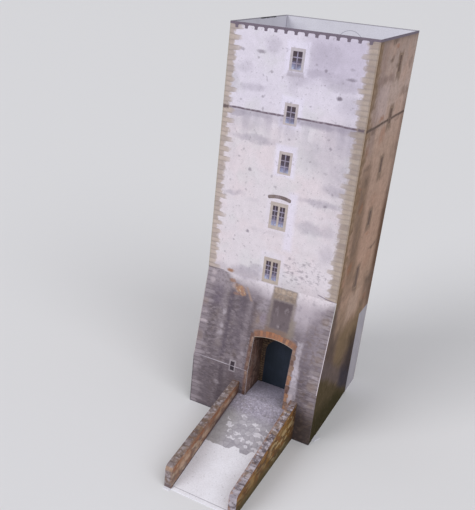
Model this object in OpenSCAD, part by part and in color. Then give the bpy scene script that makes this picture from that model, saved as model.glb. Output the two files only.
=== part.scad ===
// Castle keep as a printed card model: a tall tower, open at the top, on a battered foot.
// A gateway is let into the slope, and a ramp climbs to it between two folded parapets.
// Millimetres, +Z up, the gate towards -Y. The frame's origin is the centre of the footprint.
// The pieces are drawn with x = 0 at the tower's centre line and y = 0 at the shaft's front face,
// and are moved to the frame's origin by placed().

/* [Card] */
// Thickness of the card
card_t = 0.3; // [0.2:0.05:0.6]
// Width of the glue tabs
tab_w = 5; // [3:0.5:8]

/* [Tower] */
// Width of the front
tower_w = 60; // [48:1:120]
// Depth of the shaft, front to back
tower_d = 57.5; // [30:0.5:120]
// Height of the walls above the ground
tower_h = 172; // [100:1:260]

/* [Battered foot] */
// Height of the fold where the shaft meets the slope
fold_z = 67; // [50:1:90]
// Height of the upright plinth below the slope
plinth_z = 26; // [21:1:36]
// How far the plinth stands out in front of the shaft
batter = 7.4; // [3:0.2:14]

/* [Gateway] */
// Clear width of the gateway
gate_w = 18.2; // [10:0.2:22]
// Gateway's centre line, to the right of the tower's
gate_x = 6.5; // [-6:0.5:7]
// Height of the gateway's floor above the ground
road_z = 13.4; // [6:0.2:18]
// Height of the gate arch's springing above the ground
gate_spring_z = 42.2; // [38:0.2:46]
// Rise of the gate arch above its springing
gate_rise = 1.6; // [1:0.1:3.5]
// Depth of the niche behind the plinth's outer face
niche_d = 14.8; // [10:0.2:30]
// Width of each jamb beside the door arch in the niche's end wall
door_jamb = 1.8; // [1:0.1:3]
// Height of the end wall's masonry between the door arch and the niche's ceiling
door_head = 6.5; // [3:0.5:10]
// Lap of the dark door card behind the arch
door_lap = 1.4; // [0.5:0.1:1.8]

/* [Ramp] */
// Length of the ramp in front of the plinth
ramp_l = 57.6; // [30:0.2:90]
// Ledge between the gateway's jamb and the parapet
ledge = 3.3; // [0.5:0.1:5]
// Width of a parapet over its coping
parapet_w = 3.2; // [2:0.1:5]
// Height of the parapet above the road at the gateway
parapet_head_h = 6; // [3:0.2:7]
// Height of the parapet above the road at the foot of the ramp
parapet_foot_h = 9.9; // [5:0.1:14]
// Outer radius of the coping's bend at the parapet's end
bend_r = 1.6; // [0.8:0.1:2.4]
// Length of the white tab in front of a parapet's end
end_tab_l = 1.2; // [0.6:0.1:3]

/* [Stray tab] */
// Length of the tab end that shows beside the right wall's foot
stray_l = 4.6; // [3:0.2:8]
// How far it stands out of the right wall
stray_out = 2.4; // [0.8:0.1:4]
// Distance of its near end from the plinth's front
stray_y = 4; // [1:0.5:12]

/* [Hidden] */
$fn = 96;

// Colours of the print and of the bare card
PLASTER = "#d8d2da";
STONE = "#80767f";
SIDE_STONE = "#8d7c6f";
BROWN_STONE = "#6b5142";
RUST_STONE = "#8a5a3a";
COPING = "#857a80";
SAND = "#d3d0d4";
DARK = "#20252f";
BARE = "#dcdbe0";

// Tower
half_w = tower_w / 2;
inner_half_w = half_w - card_t;
back_y = tower_d - card_t;
corner_tab_gap = 8;
tab_bevel = 1.2 * tab_w;

// Slope of the foot: the card's thickness measured level, and the outer face's y at a height
plinth_y = -batter;
slope_h = fold_z - plinth_z;
slope_t = card_t * sqrt(1 + pow(batter / slope_h, 2));
batter_tab_gap = 2;
function slope_y(z) = plinth_y * (fold_z - z) / slope_h;

// How far a cutting shape runs past what it cuts
past = 1;

// Gateway: a segment of a circle over the jambs, and a half circle in the end wall
jamb_l = gate_x - gate_w / 2;
jamb_r = gate_x + gate_w / 2;
niche_y = plinth_y + niche_d;
gate_crown_z = gate_spring_z + gate_rise;
gate_r = (pow(gate_w / 2, 2) + pow(gate_rise, 2)) / (2 * gate_rise);
gate_arc_z = gate_crown_z - gate_r;
reveal_top_z = gate_arc_z + sqrt(pow(gate_r + card_t, 2) - pow(gate_w / 2, 2));
door_r = gate_w / 2 - door_jamb;
door_crown_z = gate_crown_z - door_head;
door_spring_z = door_crown_z - door_r;

// Ramp: the road falls to the ground, and the coping falls more gently
ramp_foot_y = plinth_y - ramp_l;
road_half_w = gate_w / 2 + ledge;
road_t = card_t * sqrt(1 + pow(road_z / ramp_l, 2));
coping_head_z = road_z + parapet_head_h;
coping_foot_z = road_t + parapet_foot_h;
coping_fall = (coping_head_z - coping_foot_z) / ramp_l;
coping_a = atan(coping_fall);
coping_t = card_t / cos(coping_a);
function road_under_z(y) = (road_z - road_t) * (y - ramp_foot_y) / ramp_l;
function coping_z(y) = coping_head_z - coping_fall * (plinth_y - y);

// Bend at a parapet's end: its centre, and the line across the card where the coping starts to turn
bend_y = ramp_foot_y + bend_r;
bend_z = coping_z(bend_y - bend_r * sin(coping_a)) - bend_r * cos(coping_a);
function bend_at(r) = [bend_y - r * sin(coping_a), bend_z + r * cos(coping_a)];
parapet_tab_gap = 0.4;
parapet_tab_w = parapet_w - 2 * card_t - parapet_tab_gap;
end_tab_bevel = 0.4;

// Stray tab's corners: its near and far ones as shares of how far it stands out, the outer one of its length
near_corner = 1 / 2;
far_corner = 1 / 3;
outer_corner = 5 / 6;

// Moves the model to its frame: the middle of the footprint, the stray tab and the end tabs counted
mid_x = stray_out / 2;
mid_y = (tower_d + ramp_foot_y - end_tab_l) / 2;
module placed() translate([-mid_x, -mid_y, 0]) children();

// A card facing the front: its outline is drawn in x and z, its outer face lies at y
module facing(y, depth = card_t) translate([0, y + depth, 0]) rotate([90, 0, 0]) linear_extrude(depth) children();

// A card seen from the side: its outline is drawn in y and z, and it runs from x for the given width
module sideways(x, width = card_t) translate([x, 0, 0]) rotate([90, 0, 90]) linear_extrude(width) children();

// A card lying on the ground, its outline drawn in x and y
module flat() linear_extrude(card_t) children();

// A rectangle between two corners
module panel(x0, z0, x1, z1) translate([x0, z0]) square([x1 - x0, z1 - z0]);

// A glue tab's outline: its root runs along x and both ends are cut back
module tab(length, width = tab_w, bevel = tab_bevel)
    polygon([[0, 0], [length, 0], [length - bevel, width], [bevel, width]]);

// Tower walls: the front and the back cover the edges of the sides above the fold
module front_wall() color(PLASTER) facing(0) panel(-half_w, fold_z, half_w, tower_h);
module back_wall() color(PLASTER) facing(back_y) panel(-half_w, 0, half_w, tower_h);

// The side's front edge lies bare along the slope and is covered above and below it
module side_outline()
    polygon([[card_t, tower_h], [card_t, fold_z], [0, fold_z], [plinth_y, plinth_z],
             [plinth_y + card_t, plinth_z], [plinth_y + card_t, 0], [back_y, 0], [back_y, tower_h]]);
module left_wall() color(SIDE_STONE) sideways(-half_w) side_outline();
module right_wall() color(SIDE_STONE) sideways(inner_half_w) side_outline();

// Tab down the back left corner, glued inside the back wall
module corner_tab()
    color(BARE) facing(back_y - card_t) translate([-inner_half_w, tower_h - corner_tab_gap])
        rotate(-90) tab(tower_h - 2 * corner_tab_gap);

// Sloping card of the foot, set in between the side walls
module slope_card(x0, x1)
    sideways(x0, x1 - x0)
        polygon([[0, fold_z], [plinth_y, plinth_z], [plinth_y + slope_t, plinth_z], [slope_t, fold_z]]);

// The gateway's outline, from below the plinth's top to the arch
module gate_outline(grow = 0) {
    intersection() {
        translate([gate_x, gate_arc_z]) circle(gate_r + grow);
        panel(jamb_l, gate_spring_z - gate_rise, jamb_r, gate_crown_z + gate_r);
    }
    panel(jamb_l, 0, jamb_r, gate_spring_z);
}
module batter_left() color(STONE) slope_card(-inner_half_w, jamb_l);
module batter_right() color(STONE) slope_card(jamb_r, inner_half_w);
module gate_head()
    color(STONE) difference() {
        slope_card(jamb_l, jamb_r);
        facing(plinth_y - past, batter + 2 * past) gate_outline();
    }

// Tabs behind the sloping card, glued inside the side walls
module batter_tab(x)
    color(BARE) sideways(x)
        polygon([[slope_y(fold_z - batter_tab_gap) + slope_t, fold_z - batter_tab_gap],
                 [slope_y(plinth_z + batter_tab_gap) + slope_t, plinth_z + batter_tab_gap],
                 [slope_y(plinth_z + tab_bevel) + slope_t + tab_w, plinth_z + tab_bevel],
                 [slope_y(fold_z - tab_bevel) + slope_t + tab_w, fold_z - tab_bevel]]);

// Upright card at the foot
module plinth_left() color(STONE) facing(plinth_y) panel(-half_w, 0, jamb_l, plinth_z);
module plinth_right() color(STONE) facing(plinth_y) panel(jamb_r, 0, half_w, plinth_z);
module plinth_under_gate() color(STONE) facing(plinth_y) panel(jamb_l, 0, jamb_r, road_z - card_t);

// Everything behind the front cards, as an outline in y and z
module behind_front(z0, z1)
    polygon([[plinth_y + card_t, z0], [plinth_y + card_t, plinth_z], [plinth_y + slope_t, plinth_z],
             [slope_y(z1) + slope_t, z1], [niche_y, z1], [niche_y, z0]]);

// Niche: its sides and its ceiling are mitred to the slope
module gate_reveal(x) color(BROWN_STONE) sideways(x) behind_front(road_z - card_t, reveal_top_z);
module gate_vault()
    color(BROWN_STONE) intersection() {
        facing(plinth_y, niche_d) difference() {
            gate_outline(card_t);
            gate_outline();
        }
        sideways(jamb_l, gate_w) behind_front(plinth_z - past, gate_crown_z + past);
    }
module gate_back_wall()
    color(BROWN_STONE) facing(niche_y) difference() {
        panel(jamb_l - card_t, road_z, jamb_r + card_t, gate_crown_z + card_t);
        translate([gate_x, door_spring_z]) circle(door_r);
        panel(gate_x - door_r, road_z - past, gate_x + door_r, door_spring_z);
    }
module gate_door()
    color(DARK) facing(niche_y + card_t)
        panel(gate_x - door_r - door_lap, road_z, gate_x + door_r + door_lap, door_crown_z + door_lap);
module gate_floor()
    color(STONE) translate([jamb_l, plinth_y, road_z - card_t]) cube([gate_w, niche_d + 2 * card_t, card_t]);

// Tabs folded in under the tower
module foot_tab_front()
    color(BARE) translate([-inner_half_w, plinth_y + card_t, 0]) flat() tab(2 * inner_half_w);
module foot_tab_back()
    color(BARE) translate([inner_half_w, back_y, 0]) rotate(180) flat() tab(2 * inner_half_w);
module foot_tab_right()
    color(BARE) translate([inner_half_w, plinth_y + card_t, 0]) rotate(90) flat()
        tab(back_y - plinth_y - card_t);
module foot_tab_left()
    color(BARE) translate([-inner_half_w, back_y, 0]) rotate(-90) flat() tab(back_y - plinth_y - card_t);

// Tab end beside the right wall's foot, askew as it was glued
module stray_tab()
    color(BARE) translate([half_w, plinth_y + stray_y, 0]) flat()
        polygon([[0, 0], [stray_out * near_corner, 0], [stray_out, stray_l * outer_corner],
                 [stray_out * far_corner, stray_l], [0, stray_l]]);

// Road card between the parapets, and its tab folded down on the plinth
module ramp_road()
    color(SAND) sideways(gate_x - road_half_w, 2 * road_half_w)
        polygon([[plinth_y, road_z], [ramp_foot_y, road_t], [ramp_foot_y, 0], [plinth_y, road_z - road_t]]);
module ramp_head_tab()
    color(BARE) facing(plinth_y - card_t)
        translate([gate_x + gate_w / 2, road_under_z(plinth_y - card_t)]) rotate(180)
            tab(gate_w, tab_w, tab_w);

// Draws a piece of the right parapet, or its mirror image on the left of the gate
module on_side(right) translate([gate_x, 0, 0]) {
    if (right) children();
    else mirror([1, 0, 0]) children();
}

// Outline of a parapet's side under the coping, closed by the given line at its foot
module parapet_outline(foot_line) {
    polygon(concat(foot_line, [[plinth_y, coping_head_z - coping_t], bend_at(bend_r - card_t),
                               [bend_y, bend_z], [ramp_foot_y + card_t, bend_z]]));
    translate([bend_y, bend_z]) circle(bend_r - card_t);
}
module parapet_outer(right)
    color(RUST_STONE) on_side(right) sideways(road_half_w + parapet_w - card_t)
        parapet_outline([[ramp_foot_y + card_t, 0], [plinth_y, 0]]);
module parapet_inner(right)
    color(RUST_STONE) on_side(right) sideways(road_half_w)
        parapet_outline([[ramp_foot_y + card_t, road_under_z(ramp_foot_y + card_t)],
                         [plinth_y, road_z - road_t]]);
module parapet_coping(right)
    color(COPING) on_side(right) sideways(road_half_w, parapet_w)
        polygon([[plinth_y, coping_head_z], bend_at(bend_r), bend_at(bend_r - card_t),
                 [plinth_y, coping_head_z - coping_t]]);
module parapet_end(right)
    color(COPING) on_side(right) sideways(road_half_w, parapet_w) {
        intersection() {
            translate([bend_y, bend_z]) difference() {
                circle(bend_r);
                circle(bend_r - card_t);
            }
            polygon([[bend_y, bend_z], bend_at(2 * bend_r), [bend_y - 2 * bend_r, bend_z + 2 * bend_r],
                     [bend_y - 2 * bend_r, bend_z]]);
        }
        panel(ramp_foot_y, 0, ramp_foot_y + card_t, bend_z);
    }
module parapet_tab(right)
    color(BARE) on_side(right) translate([road_half_w + parapet_w - card_t, ramp_foot_y + card_t, 0])
        rotate(90) flat() tab(ramp_l - card_t, parapet_tab_w, parapet_tab_w);
module end_tab(right)
    color(BARE) on_side(right) translate([road_half_w + parapet_w, ramp_foot_y, 0]) rotate(180) flat()
        tab(parapet_w, end_tab_l, end_tab_bevel);

placed() front_wall();
placed() left_wall();
placed() right_wall();
placed() back_wall();
placed() corner_tab();
placed() batter_left();
placed() batter_right();
placed() gate_head();
placed() batter_tab(-inner_half_w);  // batter_tab_left
placed() batter_tab(inner_half_w - card_t);  // batter_tab_right
placed() plinth_left();
placed() plinth_right();
placed() plinth_under_gate();
placed() gate_reveal(jamb_l - card_t);  // gate_reveal_left
placed() gate_reveal(jamb_r);  // gate_reveal_right
placed() gate_vault();
placed() gate_back_wall();
placed() gate_door();
placed() gate_floor();
placed() foot_tab_front();
placed() foot_tab_left();
placed() foot_tab_right();
placed() foot_tab_back();
placed() stray_tab();
placed() ramp_road();
placed() ramp_head_tab();
placed() parapet_outer(false);  // left_parapet_outer
placed() parapet_inner(false);  // left_parapet_inner
placed() parapet_coping(false);  // left_parapet_coping
placed() parapet_end(false);  // left_parapet_end
placed() parapet_tab(false);  // left_parapet_tab
placed() end_tab(false);  // left_end_tab
placed() parapet_outer(true);  // right_parapet_outer
placed() parapet_inner(true);  // right_parapet_inner
placed() parapet_coping(true);  // right_parapet_coping
placed() parapet_end(true);  // right_parapet_end
placed() parapet_tab(true);  // right_parapet_tab
placed() end_tab(true);  // right_end_tab
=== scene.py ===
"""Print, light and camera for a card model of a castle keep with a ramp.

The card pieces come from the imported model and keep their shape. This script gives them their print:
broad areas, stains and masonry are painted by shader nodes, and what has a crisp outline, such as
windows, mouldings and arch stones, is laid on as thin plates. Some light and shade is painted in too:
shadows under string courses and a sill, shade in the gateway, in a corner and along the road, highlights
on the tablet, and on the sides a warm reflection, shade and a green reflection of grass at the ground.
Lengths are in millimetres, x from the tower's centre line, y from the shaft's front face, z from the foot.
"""

import math
import random

import bmesh
import bpy
from mathutils import Matrix, Vector


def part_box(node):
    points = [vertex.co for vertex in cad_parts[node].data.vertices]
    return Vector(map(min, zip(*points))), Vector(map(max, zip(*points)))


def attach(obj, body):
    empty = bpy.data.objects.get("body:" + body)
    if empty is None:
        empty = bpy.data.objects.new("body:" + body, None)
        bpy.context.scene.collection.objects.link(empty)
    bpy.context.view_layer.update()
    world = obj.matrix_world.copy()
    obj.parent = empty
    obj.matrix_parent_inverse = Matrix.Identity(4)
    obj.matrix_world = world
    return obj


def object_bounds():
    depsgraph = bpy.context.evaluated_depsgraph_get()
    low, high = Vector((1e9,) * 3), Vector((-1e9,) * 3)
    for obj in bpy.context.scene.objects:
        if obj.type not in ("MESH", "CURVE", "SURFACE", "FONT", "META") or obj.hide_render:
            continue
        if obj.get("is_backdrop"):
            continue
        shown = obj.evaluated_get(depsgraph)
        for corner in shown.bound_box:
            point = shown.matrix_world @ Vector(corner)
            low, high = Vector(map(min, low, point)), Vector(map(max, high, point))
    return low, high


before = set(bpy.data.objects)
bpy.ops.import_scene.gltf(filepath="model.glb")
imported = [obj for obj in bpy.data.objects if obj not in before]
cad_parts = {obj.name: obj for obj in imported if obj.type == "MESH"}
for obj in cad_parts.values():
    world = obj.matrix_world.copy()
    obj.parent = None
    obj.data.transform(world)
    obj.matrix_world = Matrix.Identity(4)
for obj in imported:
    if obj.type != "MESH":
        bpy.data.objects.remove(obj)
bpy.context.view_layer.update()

MM = 0.001

# Places on the model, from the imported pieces
wall_low, wall_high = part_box("front_wall")
plinth_low, plinth_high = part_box("plinth_left")
head_low, head_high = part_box("gate_head")
road_low, road_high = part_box("ramp_road")
coping_low, coping_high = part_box("right_parapet_coping")
CENTRE_X = (wall_low.x + wall_high.x) / 2
FRONT_Y = wall_low.y


def from_centre(x):
    return (x - CENTRE_X) / MM


def from_front(y):
    return (y - FRONT_Y) / MM


HALF_W = from_centre(wall_high.x)
CARD = from_front(wall_high.y)
TOP_Z = wall_high.z / MM
FOLD_Z = wall_low.z / MM
PLINTH_Z = plinth_high.z / MM
BATTER = -from_front(plinth_low.y)
BACK_Y = from_front(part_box("back_wall")[1].y)
SLOPE = math.atan2(BATTER, FOLD_Z - PLINTH_Z)
JAMB_L = from_centre(head_low.x)
JAMB_R = from_centre(head_high.x)
GATE_X = (JAMB_L + JAMB_R) / 2
GATE_CROWN_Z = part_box("gate_vault")[1].z / MM - CARD
GATE_RISE = 1.6
GATE_R = ((JAMB_R - JAMB_L) ** 2 / 4 + GATE_RISE ** 2) / (2 * GATE_RISE)
GATE_ARC_Z = GATE_CROWN_Z - GATE_R
NICHE_Y = from_front(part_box("gate_back_wall")[0].y)
DOOR_L, DOOR_R = [from_centre(corner.x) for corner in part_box("gate_door")]
ROAD_Z = road_high.z / MM
ROAD_L = from_centre(road_low.x)
ROAD_R = from_centre(road_high.x)
RAMP_FOOT_Y = from_front(road_low.y)
ROAD_FALL = (ROAD_Z - CARD) / (-BATTER - RAMP_FOOT_Y)
COPING_Z = coping_high.z / MM
COPING_FALL = (coping_high.z - coping_low.z - CARD * MM) / (coping_high.y - coping_low.y)

# Heights of the print's lines, and the pitch of its courses, bricks, boards and coping stones
FRIEZE_Z = 171.1
STRING_Z = 139.2
COURSE = 2.04
BRICK = 1.25
BOARD = 1.9
COPING_STONE = 2.9

# The paper's grain
GRAIN_SIZE = 0.35
GRAIN_TONE = 0.05
GRAIN_BUMP = 0.25
GRAIN_DEPTH = 0.02

# The windows of the front, from the top down: left, right, low, high, leaves
WINDOWS = [
    (-3.6, 2.3, 156.6, 165.3, 1), (-3.3, 2.4, 135.9, 144.5, 1), (-3.1, 2.6, 115.9, 125.2, 1),
    (-4.15, 3.55, 92, 103.8, 2), (-4.1, 3.5, 67.4, 79, 2)]

# The narrow windows of the sides, from the top down: near, far, low, high
SIDE_WINDOWS = [
    (31.5, 35.6, 156.8, 164.9), (31.2, 35.3, 135.9, 143.8), (30.4, 34.5, 115.2, 123.4),
    (27, 31.2, 92.4, 100.6), (22.8, 27.2, 64.5, 75.6)]

# Colours of the print and the card, as sRGB, some also for painted shade
BARE = "#dddce6"
BARE_SOILED = "#c9c6d2"
# Ink on the card's top edges, also the painted shade of an inside corner
INK_AND_SHADE = "#6b6572"
PLASTER = "#d7cfd7"
PLASTER_HIGH = "#d6d0e0"
PLASTER_PINK = "#d9cdd4"
PLASTER_GREEN = "#cfcdd2"
PLASTER_COOL = "#b7aec3"
PLASTER_BRIGHT = "#dfd9ec"
# Grey of smudges, and of the painted shadow under the string course
SMUDGE_AND_SHADE = "#9b93a3"
MARK = "#7a717e"
RUST = "#9d7763"
LINE_DARK = "#5a515e"
STRING = "#604f5d"
# Painted shadow under the sides' string course
SIDE_STRING_SHADOW = "#685c5a"
CORNER_EDGE = "#7d6344"

# Broad smudges on the plaster: x, z, reach across, reach up, strength
SMUDGES = [
    (8, 157, 14, 2.2, 0.45), (18, 154, 11, 4, 0.5), (11, 164, 9, 6, 0.35), (0, 154, 6, 3.4, 0.5),
    (-0.5, 151, 3, 5, 0.28), (-18, 148, 9, 2.2, 0.5), (-22, 155.5, 6, 3.4, 0.3), (-17, 134.5, 9, 6, 0.36),
    (-23, 137.5, 6, 2, 0.75), (-14, 137.8, 8, 1.6, 0.55), (-9, 137, 6, 3, 0.25), (-15, 128, 14, 2.4, 0.62),
    (-26, 134, 3, 3, 0.25), (21, 133, 10, 10, 0.5), (23, 137.5, 8, 3.4, 0.7), (12, 137.5, 10, 2.4, 0.65),
    (4, 137.8, 4, 1.6, 0.7), (21, 121, 9, 8, 0.42), (22, 113.8, 8, 3.2, 0.62), (16, 107.3, 13, 2.2, 0.65),
    (14, 96, 10, 3.6, 0.55), (20, 96, 8, 3.4, 0.42), (-21.5, 103.8, 7, 1.8, 0.5), (-12, 102, 5, 1.5, 0.2),
    (22, 86, 5, 6, 0.35), (22, 147, 6, 6, 0.35), (-26, 150, 3, 5, 0.3), (-11, 165, 5, 5, 0.4),
    (-11.5, 69, 10, 4.5, 0.85), (-7, 72.3, 6, 2.8, 0.6), (-25, 68.5, 7, 3, 0.35), (14, 126, 12, 10, 0.4),
    (-6, 90, 14, 1.5, 0.14), (-24, 120, 4, 8, 0.12)]

# Small dark marks on the plaster, given the same way
MARKS = [
    (-15.6, 162.2, 2.6, 1, 0.7), (-24, 162.3, 2, 0.8, 0.5), (21.5, 156.6, 2.8, 0.9, 0.7),
    (18, 149.2, 1.6, 1.2, 0.95), (11.3, 158.5, 1, 0.9, 0.65), (-10.3, 155.2, 0.9, 0.8, 0.55),
    (-13, 145.3, 1, 0.8, 0.55), (-13.2, 88.3, 1.1, 1.1, 0.75), (-15.2, 115, 1.1, 1.1, 0.65),
    (-16.5, 159.8, 0.8, 0.6, 0.5), (17.5, 129.8, 0.9, 1, 0.6), (18.8, 106.6, 1.1, 0.9, 0.6),
    (0.2, 130.4, 0.9, 0.7, 0.5), (-22.4, 142.8, 0.8, 0.7, 0.45), (13.6, 79.8, 1.1, 0.8, 0.55),
    (7.2, 81, 0.8, 1, 0.5), (12.5, 76.5, 1.6, 0.8, 0.55), (15.5, 75.2, 0.9, 1, 0.55),
    (11, 72.5, 1.5, 0.7, 0.5), (20.5, 76.5, 0.9, 0.6, 0.55), (-20.5, 119.7, 1, 0.6, 0.5),
    (21.4, 160.3, 1.5, 0.7, 0.35), (-16, 106.2, 0.8, 0.7, 0.4), (-23.5, 108.8, 0.8, 0.7, 0.35),
    (6.2, 124, 0.7, 0.6, 0.35), (16.9, 119.8, 1.5, 0.6, 0.3), (9.2, 111.5, 0.7, 0.5, 0.3),
    (6, 77.6, 1.3, 0.7, 0.5), (9, 75, 1.2, 0.6, 0.5), (9.3, 71.6, 1, 0.7, 0.45), (13.2, 74, 1.8, 0.7, 0.45),
    (17.8, 72.6, 1.3, 0.6, 0.45), (5.4, 72.6, 0.9, 0.6, 0.45)]

# Brown stones that show where the plaster has come off the slope, given the same way
BROKEN = [
    (-19.1, 68.2, 2.3, 1.25, 1), (-17.1, 64, 2, 1.2, 0.85), (-15, 62.2, 1.8, 1.4, 0.7),
    (-13, 61.2, 3, 2.4, 1), (-11.6, 59.8, 2.2, 1.8, 0.8), (-14.4, 58.7, 2.4, 1, 0.6)]

# Upright streaks in the foot's masonry: left, right, low, high, softness, colour, strength
STREAKS = [
    (-17.3, -15.2, 29, 60, 1, "#554b57", 0.75), (-16.8, -14.2, 3, 25, 0.9, "#4d434c", 0.75),
    (-11.2, -9.4, 51, 58, 0.8, "#584e58", 0.6), (-11.4, -9.2, 16, 23, 0.7, "#57464e", 0.6),
    (-13.6, -8.6, 34, 61, 1.8, "#5f5560", 0.45), (-20.6, -17.8, 33, 61, 1.4, "#93898f", 0.42),
    (-8.4, -5.9, 27, 60, 1.2, "#8d828a", 0.45), (-5.9, -4, 42, 58, 0.9, "#584d54", 0.55),
    (-30.5, -26.6, 0, 66, 1.6, "#90868d", 0.48), (-25.5, -21, 52, 66, 2.5, "#6d6275", 0.45),
    (-25, -20.5, 0, 24, 2.5, "#655c66", 0.4), (-14.2, -8.5, 3, 25, 1.6, "#5e5359", 0.45),
    (17.3, 19.6, 31, 46, 0.6, "#b2aab4", 0.85), (17.5, 20.6, 18, 35, 0.8, "#b6aeba", 0.92),
    (20.4, 23.2, 27, 49, 1.2, "#5b515a", 0.6), (23.2, 28, 40, 56, 2, "#958b93", 0.35)]

# Pale blotches in the foot's masonry: x, z, reach across, reach up, strength
BLOTCHES = [
    (-29, 54, 1.5, 3.2, 0.55), (-28, 42.2, 3.2, 1.4, 1), (-28.5, 47.5, 2, 1, 0.6), (-28, 37, 2.4, 1, 0.5),
    (-28, 33, 2.4, 1, 0.45), (-18.5, 49.2, 1.5, 2, 1), (-18.9, 42.9, 1.6, 1.6, 0.9),
    (-19.1, 39.2, 2, 2, 0.75), (-17.3, 15, 2, 1.7, 0.9), (-27, 8, 2.5, 5, 0.35), (-27.5, 20, 2.5, 1.2, 0.4),
    (-1, 56, 4, 5, 0.55), (-1, 49, 4, 4, 0.5), (19, 25, 1.6, 4, 0.9), (26, 35, 2.5, 2, 0.35),
    (-6.8, 33, 1.4, 1.4, 0.5)]

# Pale mortar that shows between the ramp's cobbles: x, y, reach across, reach along, strength
MORTAR = [
    (3, -18.5, 2, 1.5, 0.8), (9.5, -21, 2.4, 1.6, 0.9), (12.5, -25.5, 3.2, 1.8, 1),
    (-0.5, -25.5, 2.6, 2.4, 0.9), (4.5, -28.6, 2.2, 1.6, 0.8), (2.8, -31.6, 3, 1.5, 1),
    (7.4, -30.6, 2.2, 2, 0.9), (11.4, -30.6, 2.4, 1.6, 1), (15.2, -28.8, 2, 1.6, 0.9),
    (14.8, -33.2, 2.4, 1.6, 1), (11.4, -22.6, 1.8, 1.4, 0.6), (5.5, -23, 2, 1.6, 0.5),
    (15.5, -21.5, 1.6, 1.6, 0.6), (8.6, -26.8, 1.8, 1.4, 0.6), (-2.5, -22.5, 1.8, 1.6, 0.45),
    (10.5, -33.4, 2, 1.2, 0.7), (0.8, -28.5, 1.6, 1.4, 0.6), (15.8, -25.4, 1.4, 1.4, 0.6)]


def linear(colour):
    """An sRGB colour such as #8090a0 as linear values with full alpha."""
    channels = [int(colour[i:i + 2], 16) / 255 for i in (1, 3, 5)]
    return [c / 12.92 if c <= 0.04045 else ((c + 0.055) / 1.055) ** 2.4 for c in channels] + [1.0]


def point(x, y, z):
    """A point of the model in metres, from its millimetres."""
    return CENTRE_X + x * MM, FRONT_Y + y * MM, z * MM


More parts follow.
